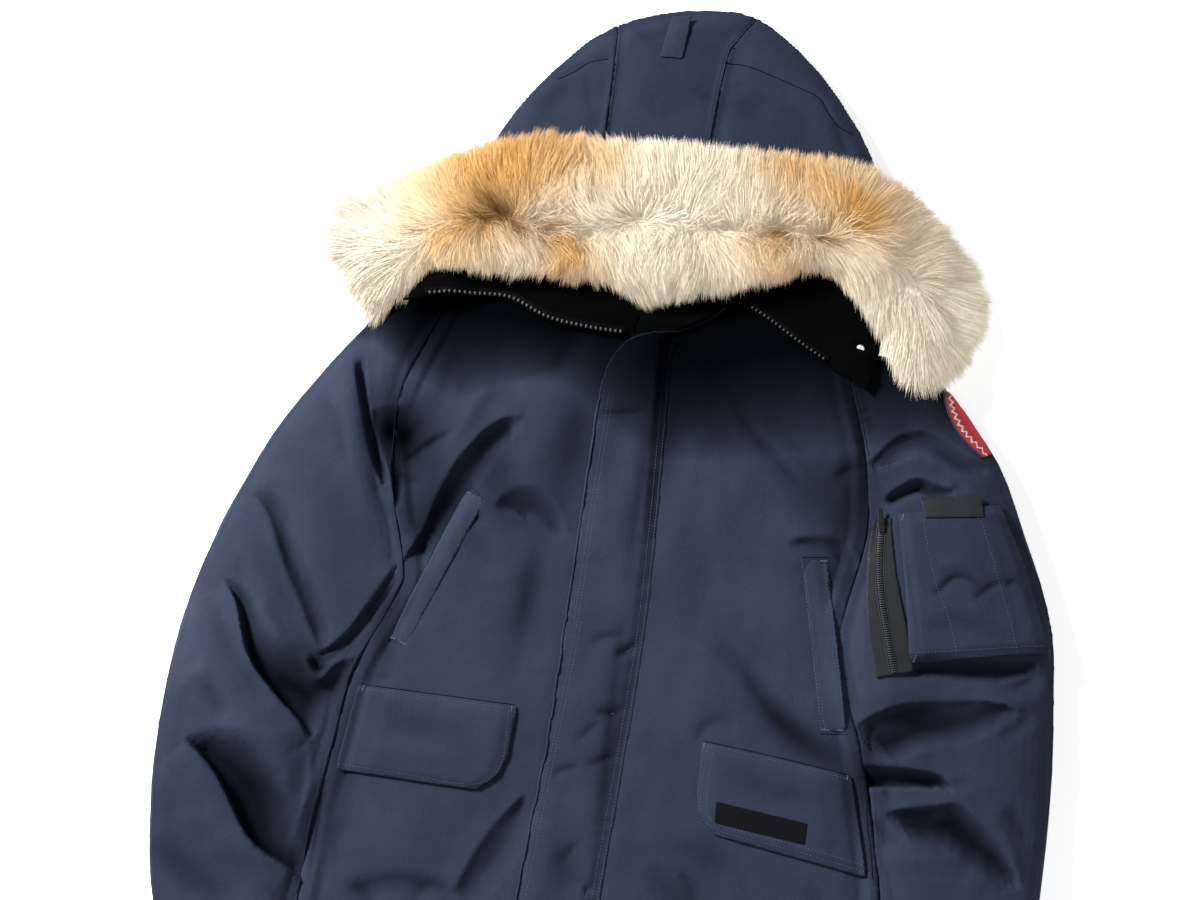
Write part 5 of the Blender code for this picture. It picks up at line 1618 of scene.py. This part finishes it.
def fur_tint(co):
    """Tint of the fur at each point: cream with soft-edged tan, brown and grey places."""
    c = bpy.context.scene.jacket_colours
    at = co[:, :2] / MM + 7 * np.column_stack([smooth_noise(co, 0.02, 21.0), smooth_noise(co, 0.02, 31.0)])
    tint, speck = np.tile(np.array(c.cream), (len(co), 1)), smooth_noise(co, 0.007, 81.0)
    for *place, name, strength in FUR_TINTS:
        fleck = (0.35 if name == "tan" else 1.1) * speck
        w = np.clip((strength + fleck) * spot(at, *place), 0, 1)[:, None]
        tint = tint * (1 - w) + w * np.array(getattr(c, name))
    return tint * (1 + 0.10 * smooth_noise(co, 0.03, 41.0))[:, None]


class JACKET_OT_stage(bpy.types.Operator):
    """Set the floor, the lights and the camera"""
    bl_idname, bl_label = "jacket.make_stage", "Stage"

    def execute(self, context):
        scene, stage = context.scene, context.scene.jacket_stage
        self.floor()
        self.camera(scene, stage)
        for name, power, size, place in (
                ("key", stage.key, 1.0, (-2.75, 1.35, 2.15)),
                ("fill", stage.key * 0.08, 2.6, (1.6, -2.0, 2.8))):
            light = bpy.data.lights.new(name, "AREA")
            light.energy, light.size, light.shape = power, size, "DISK"
            lamp = link(name, light)
            lamp.location = place
            lamp.rotation_euler = (Vector((0, 0.1, 0)) - lamp.location).to_track_quat("-Z", "Y").to_euler()
        world = bpy.data.worlds.new("studio")
        world.use_nodes = True
        background = world.node_tree.nodes["Background"].inputs
        background["Color"].default_value = (0.96, 0.98, 1.0, 1)
        background["Strength"].default_value = stage.sky
        scene.world = world
        scene.view_settings.view_transform = "Standard"
        return {"FINISHED"}

    def floor(self):
        """Pale studio paper just under the jacket."""
        bm = bmesh.new()
        bmesh.ops.create_grid(bm, x_segments=8, y_segments=8, size=FLOOR_HALF)
        bmesh.ops.translate(bm, vec=(0, 0, -FLOOR_GAP), verts=bm.verts)
        floor = link("studio_floor", mesh_from(bm, "studio_floor"))
        m = Finish("studio_paper", (0.9, 0.9, 0.9), 0.9, specular=0.1)
        paper = m.mix(m.specks(260.0, 3.0), (0.90, 0.90, 0.905, 1), (0.93, 0.93, 0.93, 1))
        m.set(Base_Color=paper, Emission_Color=(1, 1, 1, 1), Emission_Strength=0.72)
        floor.data.materials.append(m.made)

    def camera(self, scene, stage):
        camera = link("camera", bpy.data.cameras.new("camera"))
        camera.data.lens, camera.data.sensor_width = stage.lens, 36
        camera.data.clip_end = 60
        target, a, e = Vector(stage.target), stage.azimuth, stage.elevation
        back = Vector((math.sin(a) * math.cos(e), -math.cos(a) * math.cos(e), math.sin(e)))
        camera.location = target + stage.distance * back
        camera.rotation_euler = (target - camera.location).to_track_quat("-Z", "Y").to_euler()
        scene.camera = camera


class JACKET_PT_panel(bpy.types.Panel):
    """Make the jacket piece by piece"""
    bl_label, bl_category = "Hooded down jacket", "Jacket"
    bl_space_type, bl_region_type = "VIEW_3D", "UI"

    def draw(self, context):
        for group in GROUPS:
            box = self.layout.box()
            settings = getattr(context.scene, group)
            for name in settings.__annotations__:
                box.prop(settings, name)
        for operator in OPERATORS:
            self.layout.operator(operator.bl_idname)


OPERATORS = (JACKET_OT_body, JACKET_OT_sleeves, JACKET_OT_hood, JACKET_OT_storm_flap, JACKET_OT_collar,
             JACKET_OT_pockets, JACKET_OT_zips, JACKET_OT_trims, JACKET_OT_fastenings, JACKET_OT_stitches,
             JACKET_OT_fur, JACKET_OT_stage)
GROUPS = {"jacket_cloth": JacketCloth, "jacket_colours": JacketColours, "jacket_fur": JacketFur,
          "jacket_stage": JacketStage}


def register():
    for cls in (*GROUPS.values(), *OPERATORS, JACKET_PT_panel):
        bpy.utils.register_class(cls)
    for name, group in GROUPS.items():
        setattr(bpy.types.Scene, name, PointerProperty(type=group))


def unregister():
    for name in GROUPS:
        delattr(bpy.types.Scene, name)
    for cls in reversed((*GROUPS.values(), *OPERATORS, JACKET_PT_panel)):
        bpy.utils.unregister_class(cls)


def main():
    register()
    for operator in OPERATORS:
        group, name = operator.bl_idname.split(".")
        getattr(getattr(bpy.ops, group), name)()


if __name__ == "__main__":
    main()
